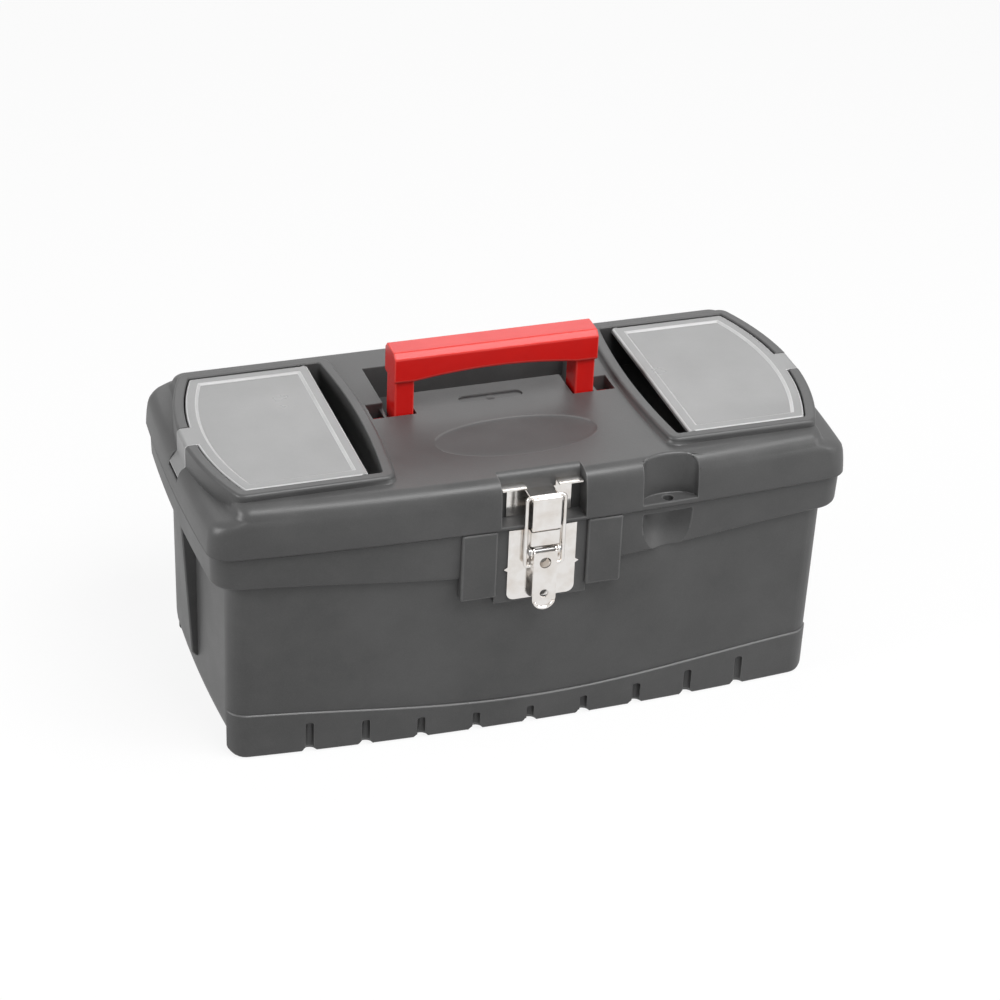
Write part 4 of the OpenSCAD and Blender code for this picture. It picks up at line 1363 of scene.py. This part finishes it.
    def build(self) -> None:
        """Builds the whole lid."""
        shape = cut(self.body(), self.hollow())
        gap, wall = SIZES.cover_gap, SIZES.wall
        walls = self.bay_block(
            SIZES.bin_in - wall, gap + wall, self.cover_r0 + wall, self.bin_low, SIZES.deck - self.skin)
        over = gap + SIZES.frame_w - 0.4
        apron = combine(
            self.bay_block(SIZES.bin_in, over, self.frame_r, self.bin_low, SIZES.frame_top - 3),
            Operation.KEEP, block((self.apron_x, FRONT_AIR, 100), (230, -FRONT_AIR, 220)))
        for piece in (walls, apron, self.bin_frame()):
            shape = joined(shape, *both(piece))
        shape = joined(shape, *self.inside_walls())
        for side in Side:
            shape = joined(shape, self.knuckle(side.value * SIZES.hinge_x))
        reach = SIZES.cover_hd + self.barrel_over
        x, z = self.barrel
        for piece in (
                self.bay_block(SIZES.bin_in, gap, self.cover_r0, self.bin_floor, TOP_AIR), self.tab_notch(),
                rod(self.barrel_bore, SIZES.cover_y - reach, SIZES.cover_y + reach, x, z, Axis.Y)):
            shape = cut(shape, *both(piece))
        web, eye = self.web_out + 1, (SIZES.eye_x, SIZES.eye_y)
        shape = cut(
            shape, *self.handle_room(), rod(self.stub_r, -web, web, *self.pivot, Axis.X), self.recess(),
            self.pocket(), rod(SIZES.eye_r, SIZES.parting - 5, SIZES.parting + 10, *eye, Axis.Z),
            self.scoop(), self.mark())
        for side in Side:
            shape = cut(shape, hinge_rod(SIZES.hinge_bore, side.value * SIZES.hinge_x, self.knuckle_hl + 2))
        soften(shape, 0.8, 2, 32, seams=(
            (Axis.X, 0.0), (Axis.X, SIZES.eye_x), (Axis.X, x), (Axis.X, -x),
            (Axis.Y, self.pivot[0]), (Axis.Y, SIZES.hinge_y)))
        settle(shape, "lid_moulding", "lid", Finish.CHARCOAL, "body_plastic", "lid")


@dataclass
class Handle:
    """Carrying handle with a chamfered grip, two legs and its pivot stubs."""

    grip_hl: float = 67.0
    grip_y: Flat = (0.5, 22.5)
    grip_z: Flat = (205.0, 225.5)
    arch: float = 4.0
    chamfer: float = 3.5
    foot_in: float = 1.2
    foot_up: float = 1.6
    leg_x: Flat = (53.5, 66.0)
    leg_y: Flat = (2.5, 20.5)
    leg_up: float = 4.0
    pivot: Flat = (11.5, 172.0)
    stub_r: float = 4.0
    stub_end: float = 79.5
    stations: int = 40

    def grip(self) -> Shape:
        """Grip with chamfered edges and an arched underside between the legs.

        Returns:
            The grip as a solid.
        """
        (front, back), (low, high), c = self.grip_y, self.grip_z, self.chamfer
        rings = []
        for i in range(self.stations + 1):
            x = -self.grip_hl + 2 * self.grip_hl * i / self.stations
            z = low + self.arch * max(0.0, 1 - (x / self.leg_x[0]) ** 2)
            up = z + self.foot_up
            outline = [(front + self.foot_in, z), (back - self.foot_in, z), (back, up), (back, high - c),
                       (back - c, high), (front + c, high), (front, high - c), (front, up)]
            rings.append([(x, y, h) for y, h in outline])
        return soften(loft(rings), 0.8, 3, 24)

    def leg(self) -> Shape:
        """Right leg with a rounded foot and its stub.

        Returns:
            The leg as a solid.
        """
        y, z = self.pivot
        front, back = self.leg_y
        top = self.grip_z[0] + self.leg_up
        outline = arc(y, z, (back - front) / 2, 180, 360, 15) + [(back, top), (front, top)]
        leg = soften(slab(outline, Axis.X, *self.leg_x), 1.0, 3)
        stub = soften(rod(self.stub_r, self.leg_x[1] - 2, self.stub_end, y, z, Axis.X), 0.5, 2, 60)
        return joined(leg, stub)

    def build(self) -> None:
        """Builds the handle."""
        shape = joined(self.grip(), *both(self.leg()))
        soften(shape, 0.4, 2, 40, lambda p: 200 < p.z < 208.5)
        settle(shape, "carrying_handle", "handle", Finish.RED, "handle_plastic", "handle")


@dataclass
class Cover:
    """Frosted bin cover with a raised border, hinge barrel and thumb tab."""

    side: Side
    thick: float = 2.2
    border: float = 8.0
    step: float = 1.3
    hinge: Flat = (106.2, 183.9)
    barrel_r: float = 2.6
    stub_r: float = 2.0
    stub_l: float = 3.75
    tab_hw: float = 11.0
    tab_in: float = 189.0
    tab_x: float = 202.7
    tab_z: float = 165.0
    tab_t: float = 2.0
    tab_lip: float = 5.0
    tab_r: float = 2.5

    def panel(self) -> Shape:
        """Panel with rounded edges and a border that stands up round it.

        Returns:
            The panel as a solid, with its rounded edges and border slopes marked for a painted highlight.
        """
        # Inset from the cover's edge and depth under its top, down the outside and then over the border
        rows = [(0.3, self.thick), (0.0, self.thick - 0.3), (0.0, 1.3), (0.2, 0.7), (0.6, 0.3), (1.2, 0.06),
                (1.9, 0.0)]
        rows += [(self.border - back, down) for back, down in (
            (2.6, 0.0), (1.9, 0.06), (1.3, 0.28), (0.8, 0.65), (0.4, self.step - 0.25),
            (-0.1, self.step - 0.05), (-0.7, self.step))]
        rings = []
        for inset, down in rows:
            outline = SIZES.bay(SIZES.cover_in + inset, 0, -inset, max(2.0 - inset, 1.0))
            rings.append(at(outline, SIZES.cover_top - down))
        shape = loft(rings, strip=True)
        # Sloped faces of the border and the rounded edge are marked for a painted highlight line in the pale
        # edge colour.
        wear = shape.data.attributes.new("edge_wear", "FLOAT", "FACE")
        for face in shape.data.polygons:
            wear.data[face.index].value = 1.0 if 0.25 < face.normal.z < 0.97 else 0.0
        return shape

    def tab(self) -> Shape:
        """Thumb tab that bends down over the lid's end and flares out at its tip.

        Returns:
            The tab as a solid.
        """
        x, z, lip, top, r = self.tab_x, self.tab_z, self.tab_lip, SIZES.cover_top, self.tab_r
        back, under = x - self.tab_t, top - self.thick
        outline = [(self.tab_in, under), (back, under), (back, z + lip), (back + lip, z), (x + lip, z),
                   (x, z + lip + self.tab_t)]
        outline += arc(x - r, top - r, r, 0, 90, 6) + [(self.tab_in, top)]
        tab = slab(outline, Axis.Y, SIZES.cover_y - self.tab_hw, SIZES.cover_y + self.tab_hw)
        return soften(tab, 0.5, 2, 24)

    def build(self) -> None:
        """Builds the cover at its own end of the box."""
        x, z = self.hinge
        low, high = SIZES.cover_y - SIZES.cover_hd, SIZES.cover_y + SIZES.cover_hd
        shape = joined(
            self.panel(), self.tab(), rod(self.barrel_r, low, high, x, z, Axis.Y),
            rod(self.stub_r, low - self.stub_l, high + self.stub_l, x, z, Axis.Y))
        if self.side is Side.LEFT:
            other = mirrored(shape)
            drop(shape)
            shape = other
        name = f"{self.side.name.lower()}_cover"
        settle(shape, f"{name}_moulding", name, Finish.FROSTED, "cover_plastic", name)


@dataclass
class Tray:
    """Lift-out tray with a bridge along its middle."""

    corner: float = 17.5
    low: float = 110.0
    high: float = 144.0
    bridge: float = 11.33

    def build(self) -> None:
        """Builds the tray, as long and as deep as the CAD one."""
        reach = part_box("tray")[1]
        hl, hd, low, high = reach.x / MM, reach.y / MM, self.low, self.high

        def outline(g: float) -> list[Flat]:
            """Rounded outline drawn in by g.

            Args:
                g: How far it is drawn in.

            Returns:
                The outline's points.
            """
            r = self.corner - g
            x, y = hl - g - r, hd - g - r
            corners = ((x, y, 0), (-x, y, 90), (-x, -y, 180), (x, -y, 270))
            return [p for cx, cy, a in corners for p in arc(cx, cy, r, a, a + 90, 8)]

        # Inset and height, up the outside, over the rim and down the inside to the floor
        rows = [(1.5, low), (0.4, low + 0.4), (0, low + 1.5), (0, high - 0.5), (0.4, high), (1.6, high),
                (2, high - 0.4), (2, low + 4), (2.6, low + 2.6), (4, low + 2)]
        shape = loft([at(outline(g), z) for g, z in rows])
        middle = block((-hl + 1, -1, low + 1), (hl - 1, 1, high - 0.2))
        window = block((-hl / 4, -5, low + 4), (hl / 4, 5, high - self.bridge))
        shape = joined(shape, cut(middle, soften(window, 4.0, 4, where=lambda p: abs(p.y) < 1)))
        soften(shape, 0.5, 2, 40, seams=((Axis.X, 0.0),))
        settle(shape, "lift_out_tray", "tray", Finish.CHARCOAL, "body_plastic", "tray")


@dataclass
class Latch:
    """Steel toggle latch: base plate, lever, wire bail and keeper."""

    plate_hw: float = 22.0
    plate_low: float = 99.0
    plate_top: float = 149.0
    plate_y: float = -96.2
    corner: float = 5.0
    barb: Flat = (120.0, 122.5)
    barb_w: float = 2.5
    ear_in: float = 8.2
    ear_r: float = 2.7
    hat_y: float = -102.0
    hat_low: float = 138.9
    hat_r: float = 1.4
    lever_hw: float = 7.7
    lever_y: float = -103.4
    lever_low: float = 96.0
    cheek_r: float = 3.0
    curl: float = 1.9
    end_r: float = 7.4
    rim_r: float = 1.0
    holes: tuple[Flat, Flat] = ((127.0, 3.7), (105.0, 2.7))
    wire_r: float = 1.25
    wire_bend: float = 2.7
    wire_end: float = 6.6
    leg_x: float = 12.2
    anchor_z: float = 124.0
    bar_z: float = 172.5
    tongue_hw: float = 9.2
    tongue_y: float = -101.05
    shelf_top: float = 170.95
    ear_top: float = 175.95
    keeper_hw: float = 26.0
    arm_w: float = 5.0
    ear_d: float = 8.0
    pin_r: float = 1.5
    play: float = 0.05

    def bore(self, r: float, z: float) -> Shape:
        """Cutter for a pin or wire that lies across the latch at a height."""
        return rod(r + self.play, -20, 20, SIZES.pin_y, z, Axis.X)

    def base(self) -> None:
        """Base plate with round lower corners, side barbs, two ears and a raised bridge."""
        hw, low, c, y = self.plate_hw, self.plate_low, self.corner, self.plate_y
        outline = [(hw, self.plate_top), (-hw, self.plate_top)]
        outline += arc(c - hw, low + c, c, 180, 270, 8) + arc(hw - c, low + c, c, 270, 360, 8)
        shape = slab(outline, Axis.Y, y, SIZES.seat_y)
        under, over = self.barb
        tip = (hw + self.barb_w, (under + over) / 2)
        barb = slab([(hw - 1, under - 1), tip, (hw - 1, over + 1)], Axis.Y, y, SIZES.seat_y)
        inner, out, r, z = self.ear_in, self.ear_in + SIZES.sheet, self.ear_r, SIZES.pin_z
        ear = joined(rod(r, inner, out, SIZES.pin_y, z, Axis.X),
                     block((inner, SIZES.pin_y, z - r), (out, y + 0.6, z + r)))
        shape = joined(shape, *both(barb), *both(ear))
        top, r = self.hat_y, self.hat_r
        hat = [(-out - 2.6, y + 0.4), (-out - 0.9, y - 0.5), (-out, y - 1.6)]
        hat += arc(-out + r, top + r, r, 180, 270, 5) + arc(out - r, top + r, r, 270, 360, 5)
        hat += [(out, y - 1.6), (out + 0.9, y - 0.5), (out + 2.6, y + 0.4)]
        top += SIZES.sheet
        inside = [(-inner, y + 0.9), (-inner, top), (inner, top), (inner, y + 0.9)]
        bridge = cut(slab(hat, Axis.Z, self.hat_low, self.plate_top - 0.02), slab(inside, Axis.Z, 130, 160))
        shape = cut(joined(shape, bridge), self.bore(self.pin_r, z))
        soften(shape, 0.3, 2, 30, seams=((Axis.X, 0.0), (Axis.Y, SIZES.pin_y)))
        settle(shape, "latch_base_plate", "tub", Finish.NICKEL, "plated_steel", "latch_base")

    def lever(self) -> None:
        """Lever with two cheeks, two holes and a round lower end with a rolled rim."""
        hw, y, t, low, z = self.lever_hw, self.lever_y, SIZES.sheet, self.lever_low - 5, SIZES.pin_z
        back, r, centre = y + t, self.end_r, self.lever_low - self.curl + self.end_r
        side = [(back, z + 0.6), (y + 0.3, z + 0.8), (y, z), (y, low), (back, low)]
        shape = slab(side, Axis.X, -hw, hw)
        cheek = joined(
            rod(self.cheek_r, hw - t, hw, SIZES.pin_y, z, Axis.X),
            block((hw - t, y + 0.2, self.anchor_z - 3), (hw, SIZES.pin_y + 1.8, z)))
        shape = joined(shape, *both(cheek))
        outline = [(hw + 1, 145), (-hw - 1, 145), (-hw - 1, centre)] + arc(r - hw, centre, r, 180, 270, 12)
        outline += arc(hw - r, centre, r, 270, 360, 12) + [(hw + 1, centre)]
        shape = combine(shape, Operation.KEEP, slab(outline, Axis.Y, -130, -80))
        for height, radius in self.holes:
            shape = cut(shape, rod(radius, y - 3, back + 0.2, 0, height, Axis.Y, 40))
        shape = cut(shape, self.bore(self.pin_r, z), self.bore(self.wire_r, self.anchor_z))
        soften(shape, 0.3, 2, 35, seams=((Axis.X, 0.0), (Axis.Y, SIZES.pin_y)))
        rim = [(a, y - 0.3, b) for a, b in arc(0, centre, hw - self.rim_r, 200, 340, 28)]
        shape = joined(shape, soften(path_tube(rim, self.rim_r, 14), 0.4, 2, 60))
        settle(shape, "latch_lever_sheet", "lever", Finish.NICKEL, "plated_steel", "latch_lever")

    def bail(self) -> None:
        """Wire bail with turned-in ends and round upper corners."""
        r = self.wire_bend
        x, low, high = self.leg_x - r, self.anchor_z, self.bar_z
        right = [(self.wire_end, low)] + arc(x, low + r, r, -90, 0, 8) + arc(x, high - r, r, 0, 90, 8)
        path = right + [(-a, b) for a, b in reversed(right)]
        shape = path_tube([(a, SIZES.pin_y, b) for a, b in path], self.wire_r, 20)
        soften(shape, 0.25, 2, 60)
        settle(shape, "latch_wire_bail", "bail", Finish.NICKEL, "plated_steel", "latch_bail")

    def keeper(self) -> None:
        """Keeper with two eared arms, a shelf and a tongue hanging in front."""
        hw, t, top, y = self.keeper_hw, SIZES.sheet, self.ear_top, SIZES.recess_y
        low, shelf, inner, arm = SIZES.recess_floor + 0.3, self.shelf_top, self.tongue_hw + t, hw - self.arm_w
        half = [(arm, low), (arm, top - 3.6), (hw - 4.3, top - 2.3), (hw - 2.6, top - 1.5),
                (hw, top - t), (hw, top), (inner, top), (inner, shelf)]
        shape = slab(half + [(-a, b) for a, b in reversed(half)], Axis.Y, y - t, y)
        ear = block((inner, y - self.ear_d, top - t), (hw, y, top))
        back, end = self.tongue_y, SIZES.parting
        hook = [(y, shelf), (y, shelf - t), (back, shelf - t), (back, end), (back - t, end)]
        hook += [(back - t, shelf + 0.9)] + arc(back - t / 2, shelf + 1.0, t / 2, 180, 0, 6) + [(back, shelf)]
        shape = joined(shape, *both(ear), slab(hook, Axis.X, -self.tongue_hw, self.tongue_hw))
        soften(shape, 0.3, 2, 30)
        settle(shape, "latch_keeper_sheet", "lid", Finish.NICKEL, "plated_steel", "latch_keeper")

    def build(self) -> None:
        """Builds all the pieces of the latch."""
        self.base()
        self.lever()
        self.bail()
        self.keeper()


def dress_pins() -> None:
    """Gives the pins and rivets that keep their CAD shape their finishes."""
    for name in ("latch_pin", "latch_rivets", "keeper_rivet", "left_hinge_pin", "right_hinge_pin"):
        PAINTS.dress(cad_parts[name], Finish.NICKEL if name == "keeper_rivet" else Finish.DRAWN)
        log.info("%s: dressed", name)


@dataclass
class Studio:
    """White floor, soft lights and the photograph's camera."""

    lens: float = 112.97
    azimuth: float = -19.538
    elevation: float = 30.686
    roll: float = 2.473
    shift: Flat = (6.4625, 13.679)
    distance: float = 2022.80
    target: Point = (0.0, 2.5, 95.0)
    floor_hl: float = 9000.0
    white: Colour = (1.0, 1.0, 1.0, 1.0)
    gloss_share: float = 0.7
    glow_share: float = 0.75
    fill: float = 0.16

    def camera(self) -> None:
        """Places the camera at the photograph's viewpoint."""
        az, el, roll = (math.radians(a) for a in (self.azimuth, self.elevation, self.roll))
        back = Vector((math.sin(az) * math.cos(el), -math.cos(az) * math.cos(el), math.sin(el)))
        right = Vector((math.cos(az), math.sin(az), 0))
        up = back.cross(right)
        across = right * math.cos(roll) + up * math.sin(roll)
        high = up * math.cos(roll) - right * math.sin(roll)
        centre = Vector(self.target) + across * self.shift[0] + high * self.shift[1] + back * self.distance
        data = bpy.data.cameras.new("camera")
        data.sensor_width = 36.0
        data.sensor_fit = "HORIZONTAL"
        data.lens = self.lens
        data.clip_end = 50.0
        camera = linked("camera", data)
        turn = Matrix((across, high, back)).transposed().to_4x4()
        camera.matrix_world = Matrix.Translation(centre * MM) @ turn
        bpy.context.scene.camera = camera

    def lamp(self, name: str, place: Point, size: Flat, power: float, aim: Point = (0, 0, 0.1)) -> None:
        """Adds a soft rectangular lamp.

        Args:
            name: Name of the lamp.
            place: Its place in metres.
            size: Its width and height in metres.
            power: Its power in watts.
            aim: Point that it faces in metres.
        """
        data = bpy.data.lights.new(name, "AREA")
        data.shape = "RECTANGLE"
        data.size, data.size_y = size
        data.energy = power
        lamp = linked(name, data)
        lamp.location = place
        lamp.rotation_euler = (Vector(place) - Vector(aim)).to_track_quat("Z", "Y").to_euler()

    def seen(self, tree: Tree) -> Socket:
        """Socket that is 1 for camera and transmitted rays and less for glossy ones.

        Args:
            tree: Tree that gets the nodes.

        Returns:
            The socket.
        """
        rays = add_node(tree, "ShaderNodeLightPath").outputs
        gloss = calc(tree, "MULTIPLY", rays["Is Glossy Ray"], self.gloss_share)
        two = calc(tree, "MAXIMUM", rays["Is Camera Ray"], gloss)
        return calc(tree, "MAXIMUM", two, rays["Is Transmission Ray"])

    def floor(self) -> None:
        """Adds a large white floor that keeps a faint shadow."""
        half = self.floor_hl
        shape = block((-half, -half, -20), (half, half, -0.2))
        shape.name = "floor"
        material = bpy.data.materials.new("paper_white_backdrop")
        tree = bare_tree(material)
        matt = add_node(tree, "ShaderNodeBsdfDiffuse", {"Color": linear("#b4b4b4")})
        white = add_node(tree, "ShaderNodeEmission", {"Color": self.white, "Strength": 1.17})
        share = calc(tree, "MULTIPLY", self.seen(tree), self.glow_share)
        mixed = add_node(tree, "ShaderNodeMixShader", {0: share, 1: matt.outputs[0], 2: white.outputs[0]})
        add_node(tree, "ShaderNodeOutputMaterial", {"Surface": mixed.outputs[0]})
        shape.data.materials.append(material)

    def world(self) -> None:
        """Soft even light from all round, white where it is seen."""
        world = bpy.data.worlds.new("white_room")
        tree = bare_tree(world)
        fill, white = (
            add_node(tree, "ShaderNodeBackground", {"Color": self.white, "Strength": strength}).outputs[0]
            for strength in (self.fill, 1.0))
        mixed = add_node(tree, "ShaderNodeMixShader", {0: self.seen(tree), 1: fill, 2: white})
        add_node(tree, "ShaderNodeOutputWorld", {"Surface": mixed.outputs[0]})
        bpy.context.scene.world = world

    def build(self) -> None:
        """Builds the studio."""
        bpy.context.scene.view_settings.view_transform = "Standard"
        self.camera()
        self.floor()
        self.world()
        self.lamp("overhead", (0.4, -0.7, 1.75), (1.3, 0.9), 29.0)
        self.lamp("behind", (0.3, 1.7, 1.15), (1.8, 0.6), 6.0)
        self.lamp("front_right", (1.1, -0.8, 0.6), (0.6, 0.6), 4.5)
        self.lamp("left_end", (-1.6, -0.1, 0.8), (0.8, 0.8), 13.5)


def main() -> None:
    """Builds the box piece by piece, then the studio."""
    logging.basicConfig(level=logging.INFO, format="%(name)s %(message)s")
    Tub().build()
    Lid().build()
    Handle().build()
    for side in Side:
        Cover(side).build()
    Tray().build()
    Latch().build()
    dress_pins()
    Studio().build()


if __name__ == "__main__":
    main()
